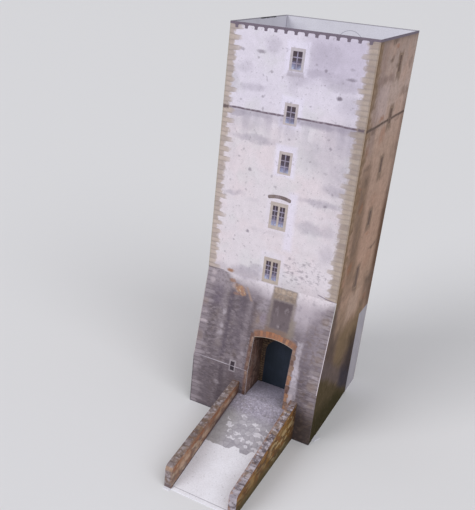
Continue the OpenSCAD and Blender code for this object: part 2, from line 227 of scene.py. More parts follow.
class Paint:
    """A material that lays colour over colour, by nodes that work in the model's millimetres.

    u and v run across and up the card, and flat holds both as a vector.
    """

    def __init__(self, name, across="x", up="z", roughness=0.72, specular=0.3):
        self.material = bpy.data.materials.new(name)
        self.material.use_nodes = True
        self.tree = self.material.node_tree
        self.shader = self.tree.nodes["Principled BSDF"]
        self.shader.inputs["Roughness"].default_value = roughness
        self.shader.inputs["Specular IOR Level"].default_value = specular
        coordinates = self.node("ShaderNodeTexCoord")
        self.place = self.vector("MULTIPLY_ADD", coordinates.outputs["Object"], (1 / MM, 1 / MM, 1 / MM),
                                 (-CENTRE_X / MM, -FRONT_Y / MM, 0))
        self.x, self.y, self.z = self.parts(self.place)
        self.facing_x, self.facing_y, self.facing_z = self.parts(coordinates.outputs["Normal"])
        self.u = self.x if across == "x" else self.y
        self.v = self.z if up == "z" else self.y
        self.flat = self.joined(self.u, self.v)
        self.colour = BARE

    def node(self, kind, *values, **settings):
        """A node with the given settings, whose first inputs take the given values."""
        made = self.tree.nodes.new(kind)
        for name, value in settings.items():
            setattr(made, name, value)
        for socket, value in zip(made.inputs, values):
            self.feed(socket, value)
        return made

    def feed(self, socket, value):
        """Links a socket to another, or gives it a value or a colour."""
        if isinstance(value, bpy.types.NodeSocket):
            self.tree.links.new(value, socket)
        elif isinstance(value, str):
            socket.default_value = linear(value)
        else:
            socket.default_value = value

    def parts(self, vector):
        return self.node("ShaderNodeSeparateXYZ", vector).outputs[:]

    def joined(self, u, v):
        return self.node("ShaderNodeCombineXYZ", u, v).outputs[0]

    def math(self, operation, *values):
        return self.node("ShaderNodeMath", *values, operation=operation).outputs[0]

    def vector(self, operation, *values):
        made = self.node("ShaderNodeVectorMath", *values, operation=operation)
        return made.outputs["Value"] if operation == "LENGTH" else made.outputs[0]

    def plus(self, a, b):
        return self.math("ADD", a, b)

    def less(self, a, b):
        return self.math("SUBTRACT", a, b)

    def times(self, found, *values):
        """The product of all values."""
        for value in values:
            found = self.math("MULTIPLY", found, value)
        return found

    def most(self, found, *values):
        """The largest of all values."""
        for value in values:
            found = self.math("MAXIMUM", found, value)
        return found

    def size(self, value):
        """The value without its sign."""
        return self.math("ABSOLUTE", value)

    def above(self, value, limit):
        """1 above the limit, else 0."""
        return self.math("GREATER_THAN", value, limit)

    def under(self, value, limit):
        """1 under the limit, else 0."""
        return self.math("LESS_THAN", value, limit)

    def repeat(self, value):
        """How far a value is from the middle between two whole numbers."""
        return self.size(self.less(self.math("FRACT", value), 0.5))

    def courses(self, row, side):
        """A point's course as its number, the distance to its middle, and a chance that differs by side."""
        number = self.math("FLOOR", row)
        dice = self.node("ShaderNodeTexWhiteNoise", noise_dimensions="2D")
        self.feed(dice.inputs["Vector"], self.joined(number, side))
        return number, self.size(self.less(self.less(row, number), 0.5)), dice.outputs["Value"]

    def ring(self, u, v, radius):
        """How far outside a circle a point is."""
        return self.less(self.vector("LENGTH", self.vector("ADD", self.flat, (-u, -v, 0))), radius)

    def fade(self, value, start, end, low=0.0, high=1.0):
        """Runs smoothly from low to high while the value goes from start to end."""
        return self.node("ShaderNodeMapRange", value, start, end, low, high,
                         interpolation_type="SMOOTHSTEP").outputs[0]

    def within(self, value, low, high, soft):
        """1 between low and high, and soft at both ends."""
        away = self.size(self.less(value, (low + high) / 2))
        return self.fade(away, (high - low) / 2 + soft, (high - low) / 2 - soft)

    def profile(self, value, *points):
        """A height that follows straight lines through the given points as the value grows."""
        first, last = points[0][0], points[-1][0]
        low = min(height for _, height in points)
        high = max(height for _, height in points)
        share = self.node("ShaderNodeMapRange", value, first, last).outputs[0]
        stops = [((at - first) / (last - first), (height - low) / (high - low)) for at, height in points]
        return self.node("ShaderNodeMapRange", self.ramp(share, *stops), 0.0, 1.0, low, high,
                         clamp=False).outputs[0]

    def spot(self, u, v, reach_u, reach_v, on=None, core=0.3):
        """1 inside an ellipse, fading to 0 at its reach."""
        away = self.vector("MULTIPLY_ADD", on or self.flat, (1 / reach_u, 1 / reach_v, 0),
                           (-u / reach_u, -v / reach_v, 0))
        return self.fade(self.vector("LENGTH", away), 1.0, core)

    def box(self, left, right, low, high, soft, on=None):
        """1 inside a rectangle whose edges fade over the softness on both sides."""
        away = self.vector("ADD", on or self.flat, (-(left + right) / 2, -(low + high) / 2, 0))
        away = self.vector("ABSOLUTE", away)
        away = self.vector("ADD", away, ((left - right) / 2, (low - high) / 2, -1e6))
        across, along, _ = self.parts(away)
        return self.fade(self.most(across, along), soft, -soft)

    def stains(self, places, on=None):
        """The strongest of several ellipses, each given by its centre, its reach and its strength."""
        found = 0.0
        for *place, strength in places:
            found = self.most(found, self.times(self.spot(*place, on), strength))
        return found

    def scaled(self, size, stretch, seed):
        """The place in units of size, stretched and moved away by the seed."""
        return self.vector("MULTIPLY_ADD", self.place, [1 / (size * s) for s in stretch],
                           (seed, seed * 1.7, seed * 0.6))

    def noise(self, size, detail=2.0, stretch=(1, 1, 1), seed=0.0, rough=0.5, coloured=False):
        """Smooth noise between 0 and 1 whose patches are about as large as size."""
        made = self.node("ShaderNodeTexNoise")
        self.feed(made.inputs["Vector"], self.scaled(size, stretch, seed))
        made.inputs["Scale"].default_value = 1.0
        made.inputs["Detail"].default_value = detail
        made.inputs["Roughness"].default_value = rough
        return made.outputs[1 if coloured else 0]

    def cloud(self, seed, size, start, end, low=0, high=1, detail=3, stretch=(1, 1, 1), rough=0.5):
        """Runs smoothly from low to high while noise goes from start to end."""
        return self.fade(self.noise(size, detail, stretch, seed, rough), start, end, low, high)

    def torn(self, size, amount, seed=0):
        """The place on the card, shifted by noise: a mask made with it gets ragged edges."""
        shift = self.noise(size, detail=3.0, seed=seed, rough=0.6, coloured=True)
        shift = self.vector("MULTIPLY_ADD", shift, (2 * amount, 2 * amount, 0), (-amount, -amount, 0))
        return self.vector("ADD", shift, self.flat)

    def stones(self, size, stretch, seed, bend):
        """Irregular stones: each one's random number, and the distance to its joint."""
        bent = self.vector("MULTIPLY_ADD", self.noise(size * 0.8, stretch=stretch, seed=seed, coloured=True),
                           (bend, bend, bend), self.scaled(size, stretch, seed))
        made = [self.node("ShaderNodeTexVoronoi", feature=kind) for kind in ("F1", "DISTANCE_TO_EDGE")]
        for node in made:
            self.feed(node.inputs["Vector"], bent)
            node.inputs["Scale"].default_value = 1.0
        return self.parts(made[0].outputs["Color"])[0], made[1].outputs["Distance"]

    def blend(self, factor, under, over, kind="MIX"):
        made = self.node("ShaderNodeMix", factor, data_type="RGBA", blend_type=kind)
        self.feed(made.inputs[6], under)
        self.feed(made.inputs[7], over)
        return made.outputs[2]

    def ramp(self, value, *stops):
        """A run of colours or greys; each stop is a place between 0 and 1 and its colour."""
        made = self.node("ShaderNodeValToRGB", value)
        handles = made.color_ramp.elements
        while len(handles) < len(stops):
            handles.new(0.5)
        for handle, (place, colour) in zip(handles, stops):
            handle.position = place
            handle.color = linear(colour) if isinstance(colour, str) else (colour, colour, colour, 1.0)
        return made.outputs[0]

    def run(self, value, colours, start=0.0, end=1.0):
        """A run of colours in even steps while the value goes from start to end."""
        step = (end - start) / (len(colours) - 1)
        return self.ramp(value, *[(start + step * i, colour) for i, colour in enumerate(colours)])

    def lay(self, colour, strength, *masks, x=None, y=None, z=None):
        """Lays a colour over the paint so far, where all the masks are above 0.

        z=(60, 80) is one more mask, which fades in while z goes from 60 to 80.
        """
        fades = [self.fade(at, *run) for at, run in ((self.x, x), (self.y, y), (self.z, z)) if run]
        mask = self.times(*masks, *fades)
        if strength != 1:
            mask = self.times(mask, strength)
        self.colour = self.blend(mask, self.colour, colour)

    def boxes(self, on, *rows):
        """Lays soft boxes, each given by its colour, its strength, its place and its softness."""
        for colour, strength, *place in rows:
            self.lay(colour, strength, self.box(*place, on=on))

    def shade(self, value, low, high):
        """Darkens or lightens the paint by a factor from low to high, as the value goes from 0.3 to 0.7."""
        grey = self.node("ShaderNodeCombineColor", *[self.fade(value, 0.3, 0.7, low, high)] * 3)
        self.colour = self.blend(1.0, self.colour, grey.outputs[0], "MULTIPLY")

    def mottle(self, seed, size, low, high, detail=4, stretch=(1, 1, 1), rough=0.5):
        """Shades the paint by noise."""
        self.shade(self.noise(size, detail, stretch, seed, rough), low, high)

    def rubble(self, size, stretch, seed, colours, joint, strength, width=0.1, bend=0.35):
        """Masonry of irregular stones; gives the distance to their joints for later use."""
        which, gap = self.stones(size, stretch, seed, bend)
        self.colour = self.run(which, colours, 0.15, 0.85)
        self.lay(joint, strength, self.fade(gap, width, width * 0.2))
        return gap

    def tint(self):
        """The plates' own numbers: how high a point is on its plate, and the plate's chance number."""
        return self.parts(self.node("ShaderNodeAttribute", attribute_name="tint").outputs["Vector"])[:2]

    def finish(self):
        """Closes the paint with the paper's fine grain, as colour and as bump."""
        fibre = self.noise(GRAIN_SIZE, detail=3.0, stretch=(1.6, 1.6, 1))
        self.shade(fibre, 1 - GRAIN_TONE, 1 + GRAIN_TONE)
        self.feed(self.shader.inputs["Base Color"], self.colour)
        bump = self.node("ShaderNodeBump")
        bump.inputs["Strength"].default_value = GRAIN_BUMP
        bump.inputs["Distance"].default_value = GRAIN_DEPTH * MM
        self.feed(bump.inputs["Height"], fibre)
        self.feed(self.shader.inputs["Normal"], bump.outputs[0])
        return self.material


def bare_card(p):
    """Unprinted card, a little soiled by handling, with ink along an edge that faces up."""
    p.colour = BARE
    p.lay(BARE_SOILED, 0.4, p.cloud(4, 9, 0.45, 0.8))
    p.lay(INK_AND_SHADE, 1, p.fade(p.facing_z, 0.5, 0.6), z=(TOP_Z - 1, TOP_Z))


def keep_outside(p, outward):
    """Keeps the paint so far on the card's outer face, and leaves the inside and the cut edges bare."""
    paint = p.colour
    bare_card(p)
    p.colour = p.blend(p.above(outward, 0.5), p.colour, paint)


def assign(material, *nodes):
    for name in nodes:
        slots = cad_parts[name].data.materials
        slots.clear()
        slots.append(material)


def quoins(p, left, right, joint, joints, soft, shift, strength, wider, thick):
    """Corner stones at both edges of a wall, long and short in turn, with worn round ends.

    left and right are the colours at each edge, joint is the joints' colour and joints how strongly they
    show, shift and wider are how much higher and further the right stones reach, and thick is a joint's
    share of a course. Gives the distance from the edge.
    """
    long, short = 4.8, 2.6
    at_right = p.above(p.x, 0)
    from_edge = p.less(HALF_W, p.size(p.x))
    row = p.plus(p.math("DIVIDE", p.v, COURSE), p.times(at_right, shift))
    row = p.plus(row, p.cloud(11, 6, 0.3, 0.7, -0.1, 0.1, detail=2))
    number, part, chance = p.courses(row, at_right)
    odd = p.math("MODULO", number, 2.0)
    tooth_reach = p.times(odd, p.fade(chance, 0.0, 1.0, long - short - 1.0, long - short + 0.4))
    tooth_reach = p.times(tooth_reach, p.fade(at_right, 0.0, 1.0, 1.0, 0.65))
    rounded = p.math("SQRT", p.fade(part, 0.56, 0.32))
    reach = p.plus(p.times(tooth_reach, rounded), p.fade(chance, 0.2, 0.8, short - 0.2, short + 0.5))
    reach = p.plus(reach, p.times(at_right, wider))
    ragged = p.plus(from_edge, p.cloud(6, 1.3, 0.3, 0.7, -0.5, 0.5, detail=2))
    mask = p.fade(p.less(ragged, reach), soft, -soft)
    ground = p.colour
    p.colour = p.blend(at_right, p.run(chance, left), p.run(chance, right))
    p.mottle(8, 1.3, 0.92, 1.07, stretch=(2, 2, 0.8))
    p.lay(joint, joints, p.fade(part, 0.48 - thick, 0.48))
    stones = p.colour
    p.colour = ground
    p.lay(stones, strength, mask, p.fade(from_edge, 2.5, 5.5, 1, 0.62))
    return from_edge


def plaster(p, top=TOP_Z):
    """Old limewash: lavender and pinker clouds, grey smudges, marks and specks.

    Painted shadows lie under the string course and the top window's sill. Only what reaches down below
    the top is painted.
    """
    p.colour = PLASTER
    if top > STRING_Z:
        p.lay(PLASTER_HIGH, 0.8, z=(STRING_Z - 14, STRING_Z + 6))
    p.lay(PLASTER_PINK, 0.7, p.cloud(2, 14, 0.45, 0.65), z=(150, 125))
    p.lay(PLASTER_GREEN, 0.5, p.cloud(9, 12, 0.5, 0.7))
    loose = p.torn(5, 2.2, seed=1)
    if top > STRING_Z:
        p.lay(PLASTER_COOL, 0.62, p.box(3, 28, 154, TOP_Z, 4.5, on=loose))
    cloudy = p.cloud(31, 2.4, 0.3, 0.66, 0.6, 0.95, rough=0.65, detail=5)
    smudges, marks = [[place for place in places if place[1] - place[3] < top] for places in (SMUDGES, MARKS)]
    p.lay(SMUDGE_AND_SHADE, 0.95, p.stains(smudges, on=loose), cloudy)
    frayed = p.torn(1.6, 0.6, seed=12)
    for left, right, low, high, leaves in WINDOWS:
        if low - 2 < top:
            around = p.box(left - 1.7, right + 1.7, low - 1.0, high + 2.6, 0.9, on=frayed)
            p.lay(PLASTER_BRIGHT, 0.7 if leaves == 1 else 0.2, around)
    if top > STRING_Z:
        streak = p.cloud(5, 3.2, 0.38, 0.66, stretch=(1, 1, 7))
        under = p.times(p.fade(p.z, STRING_Z - 16, STRING_Z), p.fade(p.z, STRING_Z + 0.3, STRING_Z - 0.3))
        p.lay(SMUDGE_AND_SHADE, 0.42, streak, under)
        # A painted shadow under the string course
        shaded = p.times(p.fade(p.z, STRING_Z - 3.6, STRING_Z - 1.2), p.fade(p.z, STRING_Z, STRING_Z - 0.5))
        p.lay(SMUDGE_AND_SHADE, 0.8, shaded, x=(-8, 12, 0.35, 0.75))
        p.lay(SMUDGE_AND_SHADE, 0.16, p.within(p.z, 88, 150, 12), x=(14, 25))
        p.lay(PLASTER_BRIGHT, 0.6, p.box(3.4, 7, 84, 109, 1.2, on=frayed))
        # A painted shadow under the top window's sill
        left, right, low, _, _ = WINDOWS[0]
        p.lay("#a198a4", 0.6, p.box(left - 0.4, right + 0.5, low - 1.9, low - 0.1, 0.5, on=frayed))
    p.lay(MARK, 0.95, p.stains(marks, on=p.torn(0.9, 0.6, seed=3)))
    p.lay(MARK, 0.36, p.cloud(7, 1.4, 0.57, 0.78, rough=0.65, detail=4))
    p.lay(MARK, 0.4, p.cloud(43, 2.2, 0.64, 0.74, detail=2))
    p.lay(MARK, 0.4, p.cloud(44, 0.9, 0.7, 0.78, detail=1))
    field = p.spot(14, 75, 13, 10, on=loose, core=0.5)
    p.lay(MARK, 0.42, field, p.cloud(13, 1.1, 0.52, 0.66, stretch=(1.5, 1, 1)))
    p.mottle(17, 2.8, 0.955, 1.03, rough=0.6, detail=5)


def string_line(p, height, thick, colour, strength):
    """A thin string course that wanders a little up and down, darker in places."""
    wander = p.cloud(27, 8, 0.3, 0.7, -0.12, 0.12, detail=2)
    broken = p.cloud(29, 1.4, 0.3, 0.6, 0.66, 1)
    line = p.within(p.less(p.z, wander), height - thick / 2, height + thick / 2, 0.22)
    p.lay(colour, strength, line, broken)


def shaft_quoins(p):
    """Beige corner stones of the shaft, browner towards the right corner, and the string between them."""
    string_line(p, STRING_Z - 0.05, 0.75, STRING, 0.95)
    from_edge = quoins(
        p, ["#a59894", "#b4a49c", "#b7a8a0", "#aa9c97"], ["#97877e", "#a29287", "#ab9b8f", "#998b82"],
        "#8b7f79", joints=0.6, soft=0.75, shift=0.35, strength=0.92, wider=1.35, thick=0.24)
    right = p.fade(p.x, 0, 1)
    p.lay("#8d7a68", 0.55, right, p.fade(from_edge, 0.9, 0.3))
    p.lay("#a09a8c", 0.4, p.less(1, right), p.fade(from_edge, 0.9, 0.3))
    blot = p.torn(1.2, 0.4, seed=14)
    p.boxes(blot, ("#5f5154", 0.9, -HALF_W, -27.5, STRING_Z - 0.95, STRING_Z + 0.45, 0.45),
            ("#5b4f5d", 0.85, 26.8, 29.3, STRING_Z - 0.8, STRING_Z + 0.3, 0.45))
    p.lay(CORNER_EDGE, 0.85, p.above(p.size(p.facing_x), 0.5))


def front_material():
    p = Paint("front_print")
    plaster(p)
    p.lay("#b9afb6", 0.45, z=(FOLD_Z + 6, FOLD_Z))
    shaft_quoins(p)
    p.lay(RUST, 1, p.stains(BROKEN[:1], on=p.torn(0.8, 0.5)))
    crease = p.times(p.fade(p.x, -21, -23), p.within(p.z, FOLD_Z, FOLD_Z + 0.5, 0.15))
    p.lay(LINE_DARK, 0.7, crease)
    curve = p.profile(p.x, (21, 68.6), (25, 67.6), (30, 66.9))
    curved = p.times(p.fade(p.x, 21, 22), p.within(p.less(p.z, curve), -0.25, 0.25, 0.15))
    p.lay("#7c7280", 0.8, curved)
    keep_outside(p, p.most(p.times(p.facing_y, -1), p.size(p.facing_x)))
    return p.finish()


def foot_stones(p):
    """Rubble in purple grey, with streaks and blotches, darker towards the ground."""
    p.rubble(1.2, (1.5, 1.5, 0.75), 3, ["#62585f", "#6c626a", "#736971", "#7e747b"], "#5a5158", 0.3,
             width=0.12)
    p.mottle(4, 0.8, 0.84, 1.14, stretch=(2.2, 2.2, 0.6))
    p.lay("#8b8188", 0.45, p.cloud(21, 0.9, 0.55, 0.7, stretch=(1.6, 1.6, 0.6)))
    p.lay("#564c53", 0.35, p.cloud(48, 1.3, 0.56, 0.7, stretch=(1.4, 1.4, 0.8)))
    p.lay("#6a5d59", 0.35, p.cloud(25, 3.5, 0.5, 0.7, detail=4))
    loose = p.torn(2.2, 0.9, seed=5)
    uneven = p.cloud(16, 1.2, 0.3, 0.6, 0.45, 1)
    for left, right, low, high, soft, colour, strength in STREAKS:
        p.lay(colour, strength, p.box(left, right, low, high, soft, on=loose), uneven)
    p.lay("#a39aa3", 0.95, p.stains(BLOTCHES, on=p.torn(1.4, 0.8, seed=15)), uneven)
    p.lay("#5a5056", 0.3, z=(PLINTH_Z + 3, PLINTH_Z - 10))
    p.lay("#9a91ab", 0.55, p.spot(-0.2, 51.2, 2.2, 3.6, on=loose), uneven)
    p.lay("#a1979f", 0.7, uneven, x=(-14, -20), z=(57, 63))
    p.boxes(loose, ("#7f6d68", 0.35, -4.5, 2, 46, 54, 1.5), ("#7a6f7f", 0.7, 23.6, 29.5, 62.8, 64.4, 0.6))


def tablet(p, frayed):
    """A blank weathered tablet over the gateway, darkest at its top, with painted highlights on a worn
    relief, and a bed for its header stones.
    """
    p.boxes(frayed, ("#83766e", 0.85, 2, 13.2, 61, FOLD_Z, 0.6),
            ("#7f736f", 0.75, 1.8, 13.5, 46.4, 61.4, 0.9), ("#7a645b", 0.75, 1.4, 13, 46, 48.6, 0.9),
            ("#857a73", 0.7, 11.5, 14.8, 46.5, 54.5, 1))
    panel = p.box(3.2, 12.0, 48.6, 61.0, 0.7, on=frayed)
    p.lay("#665b61", 0.9, panel)
    p.lay("#5a4e53", 0.75, panel, z=(53, 59))
    worn = p.cloud(46, 1.6, 0.44, 0.6, stretch=(0.9, 1, 1.3))
    # Pale painted highlights where a worn relief catches the light
    relief_highlights = p.stains([(5.2, 55.6, 1.5, 4.6, 0.7), (9.9, 57.4, 1.7, 2.2, 0.8), (7.7, 50.2, 1.9, 1.5, 1.0)])
    p.lay("#958b91", 0.6, panel, worn, relief_highlights)
    p.lay("#50464b", 0.4, panel, p.cloud(47, 1.8, 0.56, 0.7))


def foot_material():
    p = Paint("foot_print")
    foot_stones(p)
    p.lay("#938994", 0.35, x=(12, 22), z=(28, 44))
    quoins(p, ["#756b74", "#857b83", "#8b8189", "#9a9098"], ["#7b7178", "#90868d", "#8a7f80", "#a69ca3"],
           "#5a5057", joints=0.6, soft=0.9, shift=0.15, strength=0.72, wider=0.6, thick=0.22)
    loose = p.torn(1.6, 0.9, seed=65)
    warm = [
        (-28.5, 35, 2.4, 4, 0.5), (-28.5, 51.5, 2.2, 2.5, 0.6), (27.5, 41.5, 2.8, 2, 0.7),
        (27, 58, 2.6, 2.4, 0.6), (27, 29, 3.2, 2.6, 0.7), (-2.4, 50.3, 1.4, 2.4, 0.8), (28, 20, 2, 3, 0.5)]
    p.lay("#857368", 0.6, p.stains(warm, on=loose))
    pale = [
        (-26.7, 65.2, 1.9, 1.6, 1), (-26.8, 61.8, 1.8, 1.9, 0.9), (-28.3, 42.3, 2.8, 1.2, 1),
        (-28, 46.6, 2.6, 0.7, 0.7), (-28.6, 19, 1.4, 1.4, 0.4), (24.5, 59.5, 2, 1.2, 0.4),
        (26, 33.4, 2.4, 0.8, 0.5)]
    p.lay("#b3a7ae", 0.75, p.stains(pale, on=loose))
    p.lay("#3d312d", 0.85, x=(15, 22), z=(21, 9))
    p.lay("#6b5b53", 0.4, p.cloud(57, 1.6, 0.48, 0.66), x=(17, 22))
    p.lay("#857b84", 0.4, p.above(p.size(p.facing_x), 0.5), x=(29, 30))
    stones = p.colour
    plaster(p, FOLD_Z + 1)
    p.lay("#a89ea8", 0.9, z=(FOLD_Z + 1.5, 59))
    p.lay("#8a8089", 0.75, x=(1, -8), z=(67.5, 61))
    p.lay("#968c96", 0.55, x=(18.5, 23), z=(66, 60))
    p.lay(MARK, 0.35, p.cloud(23, 2.2, 0.5, 0.72, detail=4))
    plastered = p.colour
    edge = p.profile(p.x, (-30, 69), (-21, 68.5), (-17, 64), (-8, 60.5), (3, 59.5), (13, 52.5), (19, 52),
                     (24, 59), (27, 64), (30, 66))
    soft = p.profile(p.x, (-30, 0.4), (-22, 1.0), (-17, 2.8), (0, 3.5), (12, 6), (22, 6), (30, 3))
    torn_v = p.parts(p.torn(3.0, 1.6, seed=8))[1]
    p.colour = p.blend(p.fade(p.less(torn_v, edge), p.times(soft, -1.0), soft), stones, plastered)
    frayed = p.torn(1.3, 0.7, seed=18)
    p.lay(RUST, 1, p.stains(BROKEN, on=frayed), p.cloud(33, 1.5, 0.25, 0.5, 0.45, 0.9))
    p.lay("#7d6457", 0.5, p.stains(BROKEN[:3], on=frayed))
    p.lay("#b3a09e", 0.55, p.spot(-16.2, 61.9, 1.3, 2, on=frayed))
    leaning = p.joined(p.plus(p.x, p.times(p.less(p.z, 60.0), 0.57)), p.z)
    p.lay("#9c8478", 0.75, p.box(-8.9, -7.9, 57.4, 62.8, 0.5, on=leaning))
    core = p.stains(BROKEN[3:5], on=frayed)
    p.lay("#a98362", 0.8, core, p.cloud(34, 1, 0.5, 0.62, detail=2))
    p.lay("#bfae9e", 0.7, core, p.cloud(35, 1, 0.54, 0.66, detail=2))
    ring = p.ring(GATE_X, GATE_ARC_Z, GATE_R)
    p.lay("#84685d", 0.9, p.within(ring, 0, 3.3, 0.5), p.within(p.x, JAMB_L - 0.6, JAMB_R + 1.2, 0.5))
    p.boxes(frayed, ("#664a42", 0.85, JAMB_L - 1.8, JAMB_L, PLINTH_Z, GATE_CROWN_Z, 0.4),
            ("#6b4f47", 0.85, JAMB_L - 1.6, JAMB_L, ROAD_Z - 2, PLINTH_Z, 0.5),
            ("#7e645d", 0.8, JAMB_R, JAMB_R + 1.7, ROAD_Z, GATE_CROWN_Z - 0.5, 0.4),
            ("#b6aab0", 0.75, JAMB_R + 1.6, JAMB_R + 3.6, ROAD_Z - 1, ROAD_Z + 9, 0.7))
    tablet(p, frayed)
    p.lay("#c4b4a8", 0.6, p.within(ring, -0.1, 0.22, 0.1), p.within(p.x, JAMB_L, JAMB_R, 0.3))
    outline = p.most(p.times(p.fade(p.x, 0.4 - HALF_W, 0.2 - HALF_W), p.fade(p.z, PLINTH_Z, PLINTH_Z - 4)),
                     p.fade(p.z, 0.5, 0.25))
    p.lay("#33323a", 0.75, outline)
    worn = p.within(p.z, PLINTH_Z - 0.18, PLINTH_Z + 0.18, 0.12)
    along = p.profile(p.x, (-30, 0.1), (-25, 0.6), (-12, 1.0), (-4, 0.5), (16, 0.25), (30, 0.2))
    p.lay("#b7b0bb", 1, worn, along, p.cloud(3, 1.6, 0.3, 0.5, 0.4, 1, detail=2))
    corner = p.times(p.size(p.facing_x), p.fade(p.size(p.x), HALF_W - 0.2, HALF_W - 0.1))
    keep_outside(p, p.most(p.times(p.facing_y, -1.0), corner))
    return p.finish()


def side_stones(p):
    """Sides' plaster, warm brown as a painted reflection, darker at the front corner; painted shade and a
    painted green reflection at the ground.
    """
    share = p.math("DIVIDE", p.z, TOP_Z)
    # From the foot up: the stone print made near black olive by painted shade and a painted reflection of
    # grass, then plaster whose warm brown is a painted reflection of warm light
    p.colour = p.ramp(share, (0.0, "#29230f"), (0.05, "#322a15"), (0.10, "#463a28"), (0.16, "#665743"),
                      (0.21, "#806c58"), (0.30, "#a18775"), (0.36, "#ae9280"), (0.50, "#b29382"),
                      (0.75, "#b3998b"), (0.87, "#bba69e"), (1.0, "#a8948c"))
    loose = p.torn(5, 2.5, seed=2)
    rows = p.cloud(6, 2.2, 0.4, 0.65, stretch=(1, 2.4, 0.5))
    p.lay("#8f7767", 0.45, rows, z=(60, 80, 0.8, 0.3))
    p.lay("#c2a08f", 0.35, p.cloud(12, 12, 0.46, 0.66))
    lean = p.plus(p.y, p.fade(p.z, 70, 125, 0.0, 3.0))
    p.lay("#87705f", 0.85, p.within(lean, 7, 20, 4), p.within(p.z, 68, 122, 9))
    p.lay("#7a665d", 0.5, p.within(lean, 10, 19, 3.5), p.within(p.z, 84, 120, 7), p.cloud(45, 5, 0.4, 0.6))
    p.boxes(loose, ("#93807b", 0.55, 4, 14, 127, TOP_Z, 3), ("#8f7a74", 0.65, 4, 28, 154.6, 157.4, 1),
            ("#beaaa9", 0.55, 10, 24, 141, 154, 2))
    p.lay("#8d776d", 0.75, y=(49.5, 55), z=(152, 140))
    p.lay("#604636", 0.85, p.within(p.z, 46, 100, 8), y=(46.5, 54))
    p.boxes(loose, ("#7c675b", 0.65, 41, 58, 48, 64, 4), ("#84705f", 0.6, 8, 19, 44, 60, 4.5),
            ("#7a664f", 0.8, 10, 46, 31, 47, 5), ("#b9a092", 0.65, 18, 35, 50, 62, 3.5),
            ("#5f514b", 0.9, -8, 5, 46, 70, 4), ("#534643", 0.85, -9, 10, 29, 48, 5),
            ("#6f5d4c", 0.75, 25, 38, 18, 37, 5), ("#41362f", 0.85, 33, 46, 13, 36, 4.5))
    slant = p.plus(p.parts(loose)[1], p.times(p.y, 0.65))
    band = p.within(slant, 29.5, 39.5, 3.0)
    p.lay("#675a5a", 0.75, band, y=(36, 28))
    p.lay("#3f3a44", 0.9, p.within(slant, 28, 42, 4), y=(21, 31))
    # Olive dark at the lower front: painted shade and a painted reflection of grass over the stone print
    p.lay("#4f442f", 0.92, p.fade(slant, 32.5, 27.5))
    p.lay("#3b3520", 1, p.fade(slant, 30, 24), z=(15, 7))
    p.lay("#36301b", 0.6, y=(16, 6), z=(19, 12))
    p.lay("#352f38", 0.5, p.box(27, 43, 14, 29, 3, on=loose))
    rusty = [
        (5, 111, 4, 3, 0.8), (12, 105, 5, 3, 0.5), (6, 130, 4, 3, 0.5), (20, 140.5, 5, 1.8, 0.8),
        (26, 133, 7, 5, 0.55), (10, 79, 6, 4, 0.6), (5, 114.5, 4, 1.8, 0.6), (25.5, 167.9, 4, 1.5, 0.9),
        (46, 52, 6, 3, 0.45), (30, 104, 9, 5, 0.2), (38, 74, 9, 6, 0.2), (30, 88.5, 4, 1.4, 0.5),
        (4, 74, 4, 6, 0.4)]
    broken = p.cloud(37, 2.6, 0.3, 0.58, 0.35, 1, rough=0.6, detail=4)
    p.lay("#9b6548", 0.7, p.stains(rusty, on=loose), broken)
    # Sooty stains; the two just under the string course are its painted shadow
    soot_and_shade = [
        (14, 116, 9, 3, 0.5), (12, 122, 8, 2, 0.6), (48, 60, 8, 4, 0.8), (43, 50, 5, 3, 0.6),
        (52, 92, 6, 4, 0.5), (50, 122, 8, 7, 0.35), (50, 148, 11, 2.8, 0.65), (12, 86, 7, 5, 0.35),
        (15, 66, 14, 3, 0.35), (36, 113, 9, 2, 0.3), (44, 79, 11, 1.4, 0.8), (20.5, 170, 5.5, 2, 1),
        (21, 163.8, 4.4, 1.4, 1), (30, 160.3, 3.5, 1.6, 0.7), (52, 160, 5, 3, 0.5),
        (11, 136.8, 6, 1.8, 0.7), (46, 137, 6, 1.5, 0.55), (54, 104, 4, 10, 0.4), (29, 95.5, 4, 5, 0.5),
        (23, 66, 5, 5, 0.75), (26, 62, 4, 3, 0.5), (21, 71, 3, 4, 0.5)]
    p.lay("#6b5a50", 0.8, p.stains(soot_and_shade, on=loose), broken)
    corner = p.plus(p.y, p.cloud(53, 3.5, 0.3, 0.7, -2, 2, detail=4))
    p.lay("#8a735d", 0.8, p.fade(corner, 7, 2.5), z=(FOLD_Z - 6, FOLD_Z))
    p.lay("#7a6040", 0.7, y=(1.8, 0.5), z=(FOLD_Z - 3, FOLD_Z))
    bars = p.repeat(p.plus(p.math("DIVIDE", p.z, 2 * COURSE), p.noise(9, seed=54)))
    stones = p.times(p.fade(bars, 0.34, 0.1), p.fade(corner, 6.5, 4))
    p.lay("#6f5b4a", 0.3, stones, z=(FOLD_Z - 3, FOLD_Z))
    p.lay("#6f5c4f", 0.45, p.cloud(9, 1.6, 0.54, 0.76, rough=0.65, detail=4))
    for near, far, low, high in SIDE_WINDOWS:
        p.lay("#7d6a5c", 0.7, p.box(near - 1.2, far + 1.4, low - 2.2, high + 0.4, 1.2, on=loose))
    # A soft painted shadow under the string course, dipping towards the front corner
    dip = p.fade(p.y, 5, 0, 0.0, 0.6)
    p.lay(SIDE_STRING_SHADOW, 0.45, p.within(p.less(p.z, dip), STRING_Z - 1.5, STRING_Z - 0.2, 0.7))
    string_line(p, STRING_Z - 0.7, 0.95, "#5b4c46", 0.85)
    p.lay("#6a5d58", 0.5, z=(TOP_Z - 3, TOP_Z - 0.6))
    p.mottle(19, 3, 0.89, 1.07, rough=0.6, detail=5)


